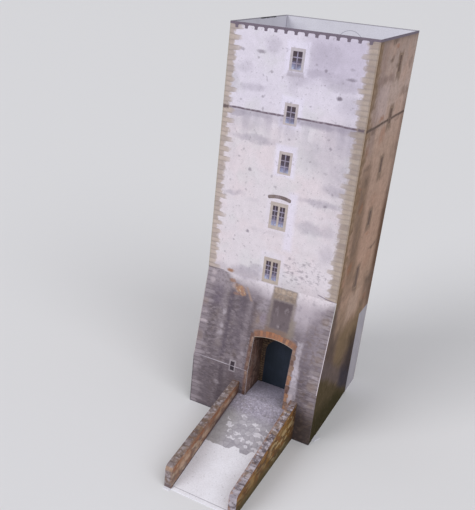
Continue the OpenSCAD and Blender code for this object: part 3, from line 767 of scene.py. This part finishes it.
def side_material():
    p = Paint("side_print", across="y", specular=0.03)
    side_stones(p)
    # The unprinted glue strip, painted greyer than the bare card: painted shade
    glue = p.times(p.fade(p.y, 43.3, 43.8), p.fade(p.z, 43.9, 43.5))
    p.lay("#aca8b0", 1, glue)
    p.lay("#9f9ba6", 0.5, glue, p.cloud(3, 6, 0.4, 0.6))
    keep_outside(p, p.size(p.facing_x))
    cut = p.under(p.facing_y, -0.5)
    p.lay("#bfb3ba", 0.85, cut)
    p.lay("#a6a5a2", 0.7, cut, p.most(p.fade(p.x, 0, -1), p.fade(p.z, 50, 62)))
    inside = p.above(p.times(p.facing_x, p.x, -1), 1)
    p.lay(BARE, 1, inside)
    p.lay(BARE_SOILED, 0.4, inside, p.cloud(4, 9, 0.45, 0.8))
    # Ink along the inside top edge, and a thin dark line in the inner corner by the back wall: painted shade
    corner = p.fade(p.y, BACK_Y - CARD - 0.45, BACK_Y - CARD - 0.2)
    p.lay(INK_AND_SHADE, 0.6, inside, p.most(corner, p.fade(p.z, TOP_Z - 0.5, TOP_Z - 0.2)))
    left = p.under(p.x, 0)
    chipped = p.box(28, 44.5, TOP_Z - 0.5, TOP_Z + 0.5, 0.2, on=p.torn(1.2, 0.5))
    p.lay("#2c2a30", 0.9, left, chipped)
    return p.finish()


def back_material():
    p = Paint("back_print")
    foot_stones(p)
    stones = p.colour
    plaster(p)
    p.lay("#b7aeb6", 0.5, z=(84, 62))
    torn_v = p.parts(p.torn(3.0, 1.6, seed=8))[1]
    p.colour = p.blend(p.fade(torn_v, 60, 64), stones, p.colour)
    shaft_quoins(p)
    keep_outside(p, p.most(p.facing_y, p.size(p.facing_x)))
    inside = p.above(p.times(p.facing_y, -1), 0.5)
    pencil = p.ring(1, 162.6, 6)
    p.lay("#7d7b8e", 0.6, inside, p.within(pencil, -0.13, 0.13, 0.08))
    p.lay(INK_AND_SHADE, 0.6, inside, z=(TOP_Z - 0.5, TOP_Z - 0.2))
    return p.finish()


def niche_material():
    """Brown stone of the gateway's sides, ceiling and end wall, with painted shade darker towards the back
    and at the floor.
    """
    p = Paint("niche_print")
    p.rubble(1.9, (1.2, 1.2, 0.8), 6.0, ["#5f4a43", "#6f574f", "#7a625a", "#866e64"], "#463530", 0.5)
    p.lay("#86583f", 0.5, p.cloud(5, 3.5, 0.5, 0.7, stretch=(1, 1, 2.4)))
    p.lay("#937d78", 0.7, p.cloud(58, 2.4, 0.5, 0.66, stretch=(1, 1, 3.2)))
    # Lighter at the mouth, darker towards the back and at the floor: painted light and shade in the gateway
    p.lay("#8d766e", 0.4, y=(-4, -6.5))
    p.lay("#4a3931", 0.5, y=(-3, NICHE_Y - 1))
    p.lay("#8a706a", 0.3, y=(-1, -5), z=(28, 21))
    p.lay("#33231c", 0.6, z=(ROAD_Z + 1.6, ROAD_Z))
    # The end wall darker still: painted shade deep in the gateway
    end = p.under(p.facing_y, -0.5)
    p.lay("#382a22", 0.75, end)
    course = p.repeat(p.math("DIVIDE", p.z, BRICK))
    bricks = p.times(p.fade(course, 0.4, 0.26), p.cloud(15, 0.9, 0.4, 0.52, detail=2))
    p.lay("#7a6650", 0.85, end, bricks, p.within(p.x, DOOR_L - 1.9, DOOR_R + 1.9, 0.2))
    p.lay("#8f7c70", 0.9, end, p.spot(5.2, 43.6, 2.4, 1.6, on=p.torn(1.2, 0.5)))
    p.lay(BARE, 0.55, end, y=(NICHE_Y - 1, NICHE_Y - 2))
    return p.finish()


def door_material():
    p = Paint("door_print", roughness=0.6)
    p.colour = "#252f3c"
    p.lay("#30394b", 0.5, p.cloud(1, 5, 0.4, 0.65))
    boards = p.repeat(p.math("DIVIDE", p.x, BOARD))
    p.lay("#1a2029", 0.35, p.fade(boards, 0.06, 0.02))
    return p.finish()


def road_material():
    """Cobbles near the gate, larger ones with pale mortar down the slope, and sand below them."""
    p = Paint("road_print", up="y")
    p.rubble(0.9, (1, 1, 3), 2.0, ["#9c96a0", "#a59faf", "#ada7b8", "#b3adbe"], "#8b8593", 0.45, width=0.22)
    p.mottle(24, 0.8, 0.8, 1.16)
    p.lay("#77717f", 0.5, p.cloud(50, 0.8, 0.6, 0.72, detail=2))
    p.lay("#827f97", 0.5, y=(-BATTER - 3, NICHE_Y))
    small = p.colour
    gap = p.rubble(2.5, (1, 1, 3), 7.0, ["#a39fa8", "#aca8b1", "#b3afb8", "#a8a4ad"], "#928e98", 0.55,
                   width=0.14, bend=0.15)
    p.lay("#a29f9f", 0.55, x=(4, -3))
    p.mottle(26, 1.3, 0.94, 1.06)
    patches = p.stains(MORTAR, on=p.torn(1.8, 0.9, seed=49))
    p.lay("#d6d3dc", 0.9, p.fade(patches, 0.1, 0.5), p.fade(p.less(gap, p.times(patches, 0.18)), 0.03, -0.03))
    large = p.colour
    torn_y = p.parts(p.torn(2.0, 1.2, seed=6))[1]
    p.colour = p.blend(p.fade(torn_y, -21, -14), large, small)
    lobes_y = p.parts(p.torn(3.0, 1.5, seed=64))[1]
    stones = p.colour
    p.colour = "#e2e1ea"
    p.lay("#dad8e0", 0.7, p.cloud(3, 12, 0.4, 0.65))
    p.lay("#a5a0a6", 0.5, p.cloud(8, 1, 0.62, 0.74))
    cobbled_to = p.profile(p.x, (-6, -37.4), (5, -37.2), (6.2, -35.2), (9, -35.4), (10, -36.8), (13, -36.6),
                           (14, -34.6), (17, -34.4))
    p.colour = p.blend(p.fade(p.less(lobes_y, cobbled_to), -0.15, 0.15), p.colour, stones)
    p.lay("#7b7480", 0.6, p.within(p.y, RAMP_FOOT_Y + 1.3, RAMP_FOOT_Y + 1.6, 0.12))
    # A painted shadow along the road's left edge, beside the left parapet
    p.lay("#6f646a", 0.6, x=(ROAD_L + 0.9, ROAD_L), y=(-BATTER - 40, -BATTER))
    keep_outside(p, p.facing_z)
    return p.finish()


def parapet_material():
    """Rubble of the parapets: golden brown outside, pinker inside, darker at its foot and near the gate."""
    p = Paint("parapet_print", across="y")
    p.rubble(2.2, (1.2, 2.4, 0.9), 5, ["#563b1f", "#6d4a22", "#7a5729", "#886532", "#644425"], "#382410", 0.8)
    p.lay("#936a2a", 0.7, p.cloud(9, 3.6, 0.5, 0.62, stretch=(1, 1.8, 1)))
    p.lay("#99542a", 0.55, p.cloud(42, 3.2, 0.54, 0.66, stretch=(1, 1.6, 1)))
    pale_stones = p.cloud(14, 1.9, 0.53, 0.6, stretch=(1, 2.4, 1), detail=1)
    p.lay("#b8a075", 0.92, pale_stones, y=(-36, -30, 0.4, 1))
    p.lay("#84602f", 0.7, p.spot(-22, 13.4, 6, 2.6, on=p.torn(2, 1, seed=60)))
    outside = p.colour
    p.rubble(2.3, (1.2, 2.2, 0.85), 15.0, ["#7f685f", "#937c72", "#a58e82", "#b9a593"], "#695449", 0.55)
    p.lay("#a27455", 0.55, p.cloud(2, 4, 0.45, 0.62))
    p.lay("#bba48c", 0.7, p.cloud(51, 2, 0.57, 0.65, stretch=(1, 2, 1), detail=1))
    beige = [
        (-57, 7, 4, 2, 1), (-53, 8, 3, 2, 1), (-37, 10, 5, 2.2, 1), (-27, 12.5, 4, 2.2, 1),
        (-19, 14.5, 4, 2.2, 0.9), (-12, 15, 3, 2.2, 0.8), (-45, 6.4, 4, 1.6, 0.8)]
    p.lay("#c4a791", 0.8, p.stains(beige, on=p.torn(1.8, 0.8, seed=61)))
    p.lay("#6b534f", 0.35, p.box(-35, -17, 4, 12, 1.5, on=p.torn(2.2, 1, seed=52)))
    inside = p.colour
    outer = p.above(p.size(p.less(p.x, GATE_X)), (ROAD_R - ROAD_L) / 2 + 1)
    p.colour = p.blend(outer, inside, outside)
    p.lay("#62431a", 1, p.fade(outer, 0, 1, 0.07, 0.16))
    road = p.plus(p.times(p.plus(p.y, BATTER), ROAD_FALL), ROAD_Z)
    coping = p.plus(p.times(p.plus(p.y, BATTER), COPING_FALL), COPING_Z)
    torn_z = p.parts(p.torn(2.2, 1.3, seed=4))[1]
    below = p.less(coping, torn_z)
    band = p.times(p.fade(below, 3.6, 1.4), p.cloud(22, 3.2, 0.34, 0.52, detail=4))
    p.lay("#9c6440", 1, band, p.fade(outer, 0, 1, 0.7, 0.3))
    # Darker along the road on the parapets' inner faces: painted shade in the corner between road and parapet
    p.lay("#54434a", 0.8, p.less(1, outer),
          p.fade(p.less(torn_z, road), p.fade(p.y, -45, -30, 1.3, 2.6), 0.5))
    p.lay("#5c4312", 0.35, outer, p.fade(torn_z, 10, 4))
    p.lay("#3f3819", 0.8, outer, p.fade(torn_z, 6.5, 1))
    p.lay("#4a2f22", 0.65, y=(-15, -BATTER))
    p.mottle(28, 1, 0.88, 1.12)
    keep_outside(p, p.size(p.facing_x))
    return p.finish()


def coping_material():
    """Coping stones in purple grey along the parapets, with the brown of the wall at their inner edge."""
    p = Paint("coping_print", across="x", up="y")
    right = p.above(p.x, GATE_X)
    row = p.math("DIVIDE", p.plus(p.y, p.times(p.z, -0.6)), COPING_STONE)
    row = p.plus(row, p.noise(2.6, seed=2))
    _, part, chance = p.courses(row, right)
    p.colour = p.ramp(chance, (0, "#675c60"), (0.3, "#82787e"), (0.55, "#9a9199"),
                      (0.75, "#7f6c5f"), (1, "#b0a8b1"))
    p.lay("#b9b2bc", 0.7, p.cloud(38, 2.2, 0.53, 0.64))
    p.lay("#b3acb6", 0.45, right, x=(ROAD_R + 1, ROAD_R + 0.3), y=(-20, -28))
    p.lay("#6a5040", 0.7, p.cloud(39, 2.8, 0.53, 0.64))
    p.mottle(5, 0.9, 0.76, 1.22, rough=0.65)
    p.lay("#c0b9c4", 0.65, p.cloud(62, 1.8, 0.54, 0.64))
    p.lay("#4f444a", 0.75, p.cloud(63, 1.8, 0.57, 0.66, detail=2))
    p.lay("#b7b0ba", 0.6, right, p.cloud(59, 1.8, 0.4, 0.6), y=(-38, -46))
    p.lay("#50454b", 0.7, p.fade(part, 0.34, 0.5))
    inner = p.less(p.size(p.less(p.x, GATE_X)), (ROAD_R - ROAD_L) / 2)
    ragged = p.plus(inner, p.cloud(7, 1.4, 0.3, 0.7, -0.7, 0.7))
    p.lay("#8d674c", 0.55, p.fade(ragged, 0.9, 0.2))
    p.lay("#6b5847", 0.4, p.less(1, right))
    p.lay("#4a3028", 0.5, y=(-13, -BATTER))
    end = p.under(p.facing_y, -0.7)
    p.lay("#a98a72", 0.6, end, p.less(1, right), p.fade(p.plus(p.z, p.noise(2, seed=3)), 8.2, 9.2))
    p.lay("#a9a2ae", 0.4, end, right, z=(6.5, 8.5))
    p.lay("#55474d", 0.6, end, z=(4, 0))
    return p.finish()


def bare_material():
    p = Paint("bare_card")
    bare_card(p)
    return p.finish()


def plate_material(name, colours, spread=0.07, speck=None):
    """Paint for plates: a run of colours by each plate's chance number, clouded by noise."""
    p = Paint(name)
    p.colour = p.run(p.tint()[1], colours)
    p.mottle(2, 1.2, 1 - spread, 1 + spread, rough=0.6)
    if speck:
        p.lay(speck, 0.5, p.cloud(9, 0.8, 0.52, 0.68))
    return p.finish()


def glass_material():
    """Window panes: dark above, with a painted reflection of the sky's pale blue in the lowest ones."""
    p = Paint("glass_print", roughness=0.55)
    ragged = p.plus(p.tint()[0], p.cloud(4, 1.5, 0.3, 0.7, -0.07, 0.07, detail=2))
    p.colour = p.ramp(ragged, (0, "#a7acc9"), (0.12, "#8d8fae"), (0.3, "#6a6580"), (0.5, "#4c4350"),
                      (1, "#41343e"))
    p.lay("#54494a", 0.35, p.cloud(12, 1.1, 0.45, 0.62, detail=2))
    return p.finish()


def glazing_material():
    """Glazing bars: grey violet, clouded."""
    p = Paint("glazing_print")
    p.colour = p.run(p.cloud(3, 2, 0.3, 0.7, detail=2), ["#8a8090", "#9a94ac"])
    return p.finish()


PARAPETS = [side + "_parapet_" for side in ("left", "right")]
assign(front_material(), "front_wall")
assign(foot_material(), "batter_left", "batter_right", "gate_head", "plinth_left", "plinth_right",
       "plinth_under_gate")
assign(side_material(), "left_wall", "right_wall")
assign(back_material(), "back_wall")
assign(niche_material(), "gate_reveal_left", "gate_reveal_right", "gate_vault", "gate_back_wall")
assign(door_material(), "gate_door")
assign(road_material(), "ramp_road", "gate_floor")
assign(parapet_material(), *[name + part for name in PARAPETS for part in ("outer", "inner")])
assign(coping_material(), *[name + part for name in PARAPETS for part in ("coping", "end")])
assign(bare_material(), *[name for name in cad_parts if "_tab" in name])


def on_shaft(x, z, out):
    """A place on the front of the shaft, the given distance outwards."""
    return point(x, -out, z)


def on_slope(x, z, out):
    """A place on the sloping card of the foot."""
    y = -BATTER * (FOLD_Z - z) / (FOLD_Z - PLINTH_Z)
    return point(x, y - out * math.cos(SLOPE), z + out * math.sin(SLOPE))


def on_plinth(x, z, out):
    """A place on the upright card of the foot."""
    return point(x, -BATTER - out, z)


def on_right(y, z, out):
    """A place on the right wall."""
    return point(HALF_W + out, y, z)


def on_left(y, z, out):
    """A place on the left wall."""
    return point(-HALF_W - out, y, z)


def on_back(x, z, out):
    """A place on the back wall."""
    return point(x, BACK_Y + out, z)


# How far the plates reach into the card, and how far they stand off it
PLATE_SINK = 0.05
LOW_LIFT = 0.04
MIDDLE_LIFT = 0.055
HIGH_LIFT = 0.07

# A cut stone's gap at each side, and how much of its smaller side its cut corners and its unevenness take
STONE_GAP = 0.07
STONE_CUT = 0.22
STONE_ROUGH = 0.1


class Plates:
    """Flat printed shapes on the card, gathered in one thin piece.

    Every point of a plate carries two numbers for its paint: its height on the plate, and the plate's chance.
    """

    def __init__(self, name, slot, material, lift=LOW_LIFT):
        self.name = name
        self.slot = slot
        self.material = material
        self.lift = lift
        self.dice = random.Random(name)
        self.mesh = bmesh.new()
        self.tint = self.mesh.loops.layers.float_color.new("tint")

    def add(self, face, outline, chance=None):
        """Adds a plate with the given outline on a face."""
        chance = self.dice.random() if chance is None else chance
        low = min(v for _, v in outline)
        high = max(v for _, v in outline)
        under = [self.mesh.verts.new(face(u, v, -PLATE_SINK)) for u, v in outline]
        over = [self.mesh.verts.new(face(u, v, self.lift)) for u, v in outline]
        height = {vert: (v - low) / (high - low) for verts in (under, over)
                  for vert, (_, v) in zip(verts, outline)}
        faces = [self.mesh.faces.new(over), self.mesh.faces.new(under[::-1])]
        for i in range(len(outline)):
            j = (i + 1) % len(outline)
            faces.append(self.mesh.faces.new((under[i], under[j], over[j], over[i])))
        for made in faces:
            for loop in made.loops:
                loop[self.tint] = (height[loop.vert], chance, 0.0, 1.0)

    def bar(self, face, left, right, low, high, chance=None):
        """Adds a rectangular plate."""
        self.add(face, [(left, low), (right, low), (right, high), (left, high)], chance)

    def stone(self, face, left, right, low, high, chance):
        """Adds a roughly cut stone, a little smaller than its place and with its corners taken off."""
        left, right, low, high = left + STONE_GAP, right - STONE_GAP, low + STONE_GAP, high - STONE_GAP
        smaller = min(right - left, high - low)
        cut = STONE_CUT * smaller
        shift = STONE_ROUGH * smaller / 2
        corners = [(left + cut, low), (right - cut, low), (right, low + cut), (right, high - cut),
                   (right - cut, high), (left + cut, high), (left, high - cut), (left, low + cut)]
        self.add(face, [(u + self.dice.uniform(-shift, shift), v + self.dice.uniform(-shift, shift))
                        for u, v in corners], chance)

    def arc_stone(self, face, centre, start, end, inner, outer, steps=4, chance=None):
        """Adds a stone of an arch, between two angles from the upright and two radii."""
        angles = [start + (end - start) * i / steps for i in range(steps + 1)]
        outline = [(centre[0] + radius * math.sin(a), centre[1] + radius * math.cos(a))
                   for radius, run in ((inner, angles), (outer, angles[::-1])) for a in run]
        self.add(face, outline, chance)

    def make(self):
        """Turns what was gathered into one object on the model."""
        bmesh.ops.recalc_face_normals(self.mesh, faces=self.mesh.faces)
        data = bpy.data.meshes.new(self.name)
        self.mesh.to_mesh(data)
        self.mesh.free()
        data.materials.append(self.material)
        piece = bpy.data.objects.new(self.name, data)
        bpy.context.scene.collection.objects.link(piece)
        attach(piece, "root")


window_frames = Plates("window_frames", "plaster_print", plate_material(
    "frame_print", ["#b8b0b8", "#b9aeb1", "#b8aca8", "#b3a69e"], speck="#a59b99"))
window_glass = Plates("window_glass", "dark_print", glass_material(), MIDDLE_LIFT)
window_bars = Plates("window_bars", "plaster_print", glazing_material(), HIGH_LIFT)
# The sides' windows, painted browner and darker than the front's with the sides' painted shade and painted
# warm reflection
side_frames = Plates("side_window_frames", "side_print", plate_material(
    "side_frame_print_shaded_warm", ["#86705f", "#927b6b"], speck="#75604f"))
side_glass = Plates("side_window_glass", "dark_print", plate_material(
    "side_glass_print_shaded_warm", ["#6a524b", "#5f4842"]), MIDDLE_LIFT)
side_bars = Plates("side_window_bars", "side_print", plate_material(
    "side_bar_print_shaded_warm", ["#745d50", "#7d6658"]), HIGH_LIFT)
FRONT_SET = (window_frames, window_glass, window_bars)
SIDE_SET = (side_frames, side_glass, side_bars)

# A frame's width at the sides, the top and the sill, the rows of panes, and a glazing bar's width and height
FRAMES = {1: (1.05, 1.2, 0.75, 3, 0.42, 0.42), 2: (1.15, 1.6, 1.6, 4, 0.231, 0.42)}
SIDE_FRAME = (0.8, 0.9, 0.8, 3, 0.3, 0.3)
SIDE_SHADE = 0.5
MULLION = 0.9


def window(plates, face, place, leaves, frame_sizes, shade):
    """A window: four frame stones, the glass, and its glazing bars, with a mullion between two leaves."""
    frames, glass, bars = plates
    left, right, low, high = place
    side, top, sill, rows, bar, crossbar = frame_sizes
    bottom = low + sill
    height = high - top - bottom
    width = (right - left - 2 * side - MULLION * (leaves - 1)) / leaves
    frames.bar(face, left, right, high - top, high, shade)
    frames.bar(face, left, right, low, bottom, shade)
    frames.bar(face, left, left + side, bottom, high - top, shade)
    frames.bar(face, right - side, right, bottom, high - top, shade)
    for leaf in range(leaves):
        start = left + side + leaf * (width + MULLION)
        glass.bar(face, start, start + width, bottom, bottom + height)
        if leaf:
            frames.bar(face, start - MULLION, start, bottom, bottom + height, shade)
        middle = start + width / 2
        bars.bar(face, middle - bar / 2, middle + bar / 2, bottom, bottom + height)
        for row in range(1, rows):
            at = bottom + height * row / rows
            for bar_left, bar_right in ((start, middle - bar / 2), (middle + bar / 2, start + width)):
                bars.bar(face, bar_left, bar_right, at - crossbar / 2, at + crossbar / 2)


for face in (on_shaft, on_back):
    for i, (*place, leaves) in enumerate(WINDOWS):
        window(FRONT_SET, face, place, leaves, FRAMES[leaves], i / (len(WINDOWS) - 1))
for face in (on_right, on_left):
    for place in SIDE_WINDOWS:
        window(SIDE_SET, face, place, 1, SIDE_FRAME, SIDE_SHADE)

# Frieze under the walls' top, with its hanging teeth on the front and the back
mouldings = Plates("mouldings", "stone_print", plate_material(
    "moulding_print", ["#685e6c", "#776c7a", "#6f6573"]))
MOULDING_TONE = 0.3
TOOTH_PITCH = 4.12
TOOTH_COUNT = 14
TOOTH_FIRST = -27.1
TOOTH_HALF = 0.62
TOOTH_HOLLOW = 0.62
TOOTH_TIP_Z = 169.8
TOOTH_CORNER = 0.22
TOOTH_OVERLAP = 0.02
ARC_STEPS = 5


def tooth(face, middle):
    """A short hanging tooth that widens in two hollow curves into the frieze."""
    arc = [math.radians(90) * i / ARC_STEPS for i in range(ARC_STEPS + 1)]
    wide = TOOTH_HALF + TOOTH_HOLLOW
    root = [(wide - TOOTH_HOLLOW * math.sin(a), FRIEZE_Z - TOOTH_HOLLOW * (1 - math.cos(a))) for a in arc]
    root[0] = (wide, FRIEZE_Z + TOOTH_OVERLAP)
    tip = [(TOOTH_HALF - TOOTH_CORNER * (1 - math.cos(a)), TOOTH_TIP_Z + TOOTH_CORNER * (1 - math.sin(a)))
           for a in arc]
    outline = [(middle + u, v) for u, v in root + tip] + [(middle - u, v) for u, v in reversed(root + tip)]
    mouldings.add(face, outline, MOULDING_TONE)


for face in (on_shaft, on_back):
    mouldings.bar(face, -HALF_W, HALF_W, FRIEZE_Z, TOP_Z, MOULDING_TONE)
    for i in range(TOOTH_COUNT):
        tooth(face, TOOTH_FIRST + TOOTH_PITCH * i)
for face in (on_right, on_left):
    mouldings.bar(face, 0, BACK_Y, FRIEZE_Z, TOP_Z, MOULDING_TONE)

# Hood mould over the fourth window, with a bent-down end at each side
hood = Plates("hood_mould", "stone_print", plate_material(
    "hood_print", ["#6b5d5f", "#7a6d69", "#83767a"], spread=0.14, speck="#8f8284"))
HOOD_HALF = 4.85
HOOD_RISE = 0.75
HOOD_X = -0.65
HOOD_Z = 106.95
HOOD_THICK = 1.5
HOOD_STONES = 7
HOOD_JOINT = 0.002
HOOD_END = [(4.86, -0.78), (5.08, -0.98), (5.1, -1.7), (4.78, -2.15), (4.41, -2.18)]
hood_r = (HOOD_HALF ** 2 + HOOD_RISE ** 2) / (2 * HOOD_RISE)
hood_a = math.asin(HOOD_HALF / hood_r)
for face in (on_shaft, on_back):
    for i in range(HOOD_STONES):
        start = -hood_a + 2 * hood_a * i / HOOD_STONES
        end = start + 2 * hood_a / HOOD_STONES - HOOD_JOINT
        hood.arc_stone(face, (HOOD_X, HOOD_Z - hood_r), start, end, hood_r - HOOD_THICK, hood_r)
    for side in (-1, 1):
        hood.add(face, [(HOOD_X + side * u, HOOD_Z + v) for u, v in HOOD_END])

# Stones of the gateway's arch, darker at its feet
arch = Plates("gate_arch_stones", "parapet_print", plate_material(
    "arch_print", ["#7a5b50", "#936a55", "#9b6a4f", "#a37a60", "#865c4a", "#956749"], 0.16, "#86685b"))
ARCH_STONES = 15
ARCH_DEPTH = 2.75
ARCH_UNEVEN = (-0.35, 0.25)
ARCH_JOINT = 0.004
ARCH_EDGE = 0.2
ARCH_PAST_L = 0.5
ARCH_PAST_R = 1.0
FOOT_TONE = 0.25
arch_start = math.asin((JAMB_L - ARCH_PAST_L - GATE_X) / (GATE_R + ARCH_DEPTH))
arch_end = math.asin((JAMB_R + ARCH_PAST_R - GATE_X) / GATE_R)
for i in range(ARCH_STONES):
    start = arch_start + (arch_end - arch_start) * i / ARCH_STONES
    end = arch_start + (arch_end - arch_start) * (i + 1) / ARCH_STONES - ARCH_JOINT
    depth = ARCH_DEPTH + arch.dice.uniform(*ARCH_UNEVEN)
    tone = arch.dice.uniform(0.0, 1.0 if 1 < i < ARCH_STONES - 2 else FOOT_TONE)
    arch.arc_stone(on_slope, (GATE_X, GATE_ARC_Z), start, end, GATE_R + ARCH_EDGE, GATE_R + depth, 2, tone)

# Stones of the gateway's jambs, where a tone near 1 is orange
jambs = Plates("gate_jamb_stones", "parapet_print", plate_material(
    "jamb_print", ["#5f4640", "#745e57", "#8c7468", "#8f6750", "#a8836b"], spread=0.2, speck="#7c6158"))
JAMB_STONE = 2.2
JAMB_UNEVEN = 0.2
WARM_TONES = (0.75, 1.0)
GREY_TONES = (0.0, 0.5)
JAMB_GAP = 0.1
SPRING_Z = GATE_CROWN_Z - GATE_RISE


def jamb(face, edge, direction, long, short, low, high, warm):
    """Stones beside the gateway, long and short in turn, outwards from the given edge.

    warm is the share of stones that are orange; the others are a greyer brown.
    """
    count = round((high - low) / JAMB_STONE)
    for i in range(count):
        reach = (long if i % 2 else short) + jambs.dice.uniform(-JAMB_UNEVEN, JAMB_UNEVEN)
        left, right = sorted((edge, edge + direction * reach))
        tones = WARM_TONES if jambs.dice.random() < warm else GREY_TONES
        jambs.stone(face, left, right, low + (high - low) * i / count, low + (high - low) * (i + 1) / count,
                    jambs.dice.uniform(*tones))


for side, warm_low, warm_high in (((JAMB_R + JAMB_GAP, 1, 2.1, 1.4), 0.7, 0.5),
                                  ((JAMB_L - JAMB_GAP, -1, 1.4, 0.9), 0.0, 0.0)):
    jamb(on_plinth, *side, ROAD_Z, PLINTH_Z, warm_low)
    jamb(on_slope, *side, PLINTH_Z, SPRING_Z, warm_high)

# Two courses of beige stones over the tablet: low, high, how far the joints are shifted, darkest, palest
header = Plates("tablet_header", "stone_print", plate_material(
    "header_print", ["#83756d", "#96867c", "#a8978b", "#95857b"], spread=0.2, speck="#7d6c63"))
HEADER_L, HEADER_R = 2.6, 12.7
HEADER_STONES = 4
for low, high, shift, darkest, palest in ((61.7, 64.1, 0, 0.0, 0.3), (64.1, FOLD_Z - 0.5, 0.5, 0.2, 1.0)):
    for i in range(HEADER_STONES):
        left = HEADER_L + (HEADER_R - HEADER_L) * i / HEADER_STONES + (shift if i else 0)
        right = HEADER_L + (HEADER_R - HEADER_L) * (i + 1) / HEADER_STONES
        header.stone(on_slope, left, right + (shift if i < HEADER_STONES - 1 else 0), low, high,
                     header.dice.uniform(darkest, palest))

# Slit window across the fold of the plinth: its frame is a little wider over the fold than under it
slit_frame = Plates("slit_frame", "stone_print", plate_material("slit_frame_print", ["#8a8289", "#948b92"]))
slit_glass = Plates("slit_glass", "dark_print", plate_material(
    "slit_print", ["#3a3138", "#332b33"]), MIDDLE_LIFT)
SLIT_L, SLIT_R = -11.2, -9.3
SLIT_HEAD_Z = 28.1
SLIT_SILL_Z = 23.8
HEAD_TALL = 0.8
SILL_TALL = 0.6
SIDE_HIGH = 0.7
SIDE_LOW = 0.6
FOLD_GAP = 0.1
PANE_GAP_HIGH = 0.16
PANE_GAP_LOW = 0.12
slit_frame.bar(on_slope, SLIT_L - SIDE_HIGH, SLIT_R + SIDE_HIGH, SLIT_HEAD_Z, SLIT_HEAD_Z + HEAD_TALL)
for left, right in ((SLIT_L - SIDE_HIGH, SLIT_L), (SLIT_R, SLIT_R + SIDE_HIGH)):
    slit_frame.bar(on_slope, left, right, PLINTH_Z + FOLD_GAP, SLIT_HEAD_Z)
for left, right in ((SLIT_L - SIDE_LOW, SLIT_L), (SLIT_R, SLIT_R + SIDE_LOW)):
    slit_frame.bar(on_plinth, left, right, SLIT_SILL_Z - SILL_TALL, PLINTH_Z - FOLD_GAP)
slit_frame.bar(on_plinth, SLIT_L, SLIT_R, SLIT_SILL_Z - SILL_TALL, SLIT_SILL_Z)
slit_glass.bar(on_slope, SLIT_L, SLIT_R, PLINTH_Z + PANE_GAP_HIGH, SLIT_HEAD_Z)
slit_glass.bar(on_plinth, SLIT_L, SLIT_R, SLIT_SILL_Z, PLINTH_Z - PANE_GAP_LOW)

for plates in (*FRONT_SET, *SIDE_SET, mouldings, hood, arch, jambs, header, slit_frame, slit_glass):
    plates.make()

# Floor
FLOOR = "#dedee2"
FLOOR_REACH = 6.0
floor_mesh = bpy.data.meshes.new("floor")
corners = [(x * FLOOR_REACH, y * FLOOR_REACH, 0) for x, y in ((-1, -1), (1, -1), (1, 1), (-1, 1))]
floor_mesh.from_pydata(corners, [], [(0, 1, 2, 3)])
floor = bpy.data.objects.new("floor", floor_mesh)
bpy.context.scene.collection.objects.link(floor)
floor_paint = bpy.data.materials.new("floor")
floor_paint.use_nodes = True
floor_shader = floor_paint.node_tree.nodes["Principled BSDF"]
floor_shader.inputs["Base Color"].default_value = linear(FLOOR)
floor_shader.inputs["Roughness"].default_value = 0.9
floor_mesh.materials.append(floor_paint)
floor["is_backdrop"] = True

# Light
SKY = 0.42
world = bpy.data.worlds.new("studio")
world.use_nodes = True
world.node_tree.nodes["Background"].inputs["Color"].default_value = (1, 1, 1, 1)
world.node_tree.nodes["Background"].inputs["Strength"].default_value = SKY
bpy.context.scene.world = world


def soft_sun(name, direction, energy, degrees):
    """A soft light from far away, shining in the given direction."""
    data = bpy.data.lights.new(name, "SUN")
    data.energy = energy
    data.angle = math.radians(degrees)
    sun = bpy.data.objects.new(name, data)
    sun.rotation_mode = "QUATERNION"
    sun.rotation_quaternion = Vector(direction).to_track_quat("-Z", "Y")
    bpy.context.scene.collection.objects.link(sun)


soft_sun("key", (0.5, 0.8, -0.6), energy=1.5, degrees=35)
soft_sun("fill", (-0.6, 0.45, -0.75), energy=1.1, degrees=45)

# Camera
CAMERA_AT = Vector((97.68, -259.01, 197.68)) * MM
CAMERA_LOOK = Vector((-0.4214, 0.8162, -0.3953))
CAMERA_ROLL = math.radians(4.63)
camera_data = bpy.data.cameras.new("camera")
camera_data.sensor_width = 36.0
camera_data.lens = 50.72
camera_data.shift_x = 0.0827
camera_data.shift_y = 0.0014
camera_data.clip_start = 0.01
camera_data.clip_end = 50.0
camera = bpy.data.objects.new("camera", camera_data)
camera.location = CAMERA_AT
turn = CAMERA_LOOK.to_track_quat("-Z", "Y").to_matrix() @ Matrix.Rotation(CAMERA_ROLL, 3, "Z")
camera.rotation_euler = turn.to_euler()
bpy.context.scene.collection.objects.link(camera)
bpy.context.scene.camera = camera
bpy.context.scene.view_settings.view_transform = "Standard"

low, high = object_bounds()
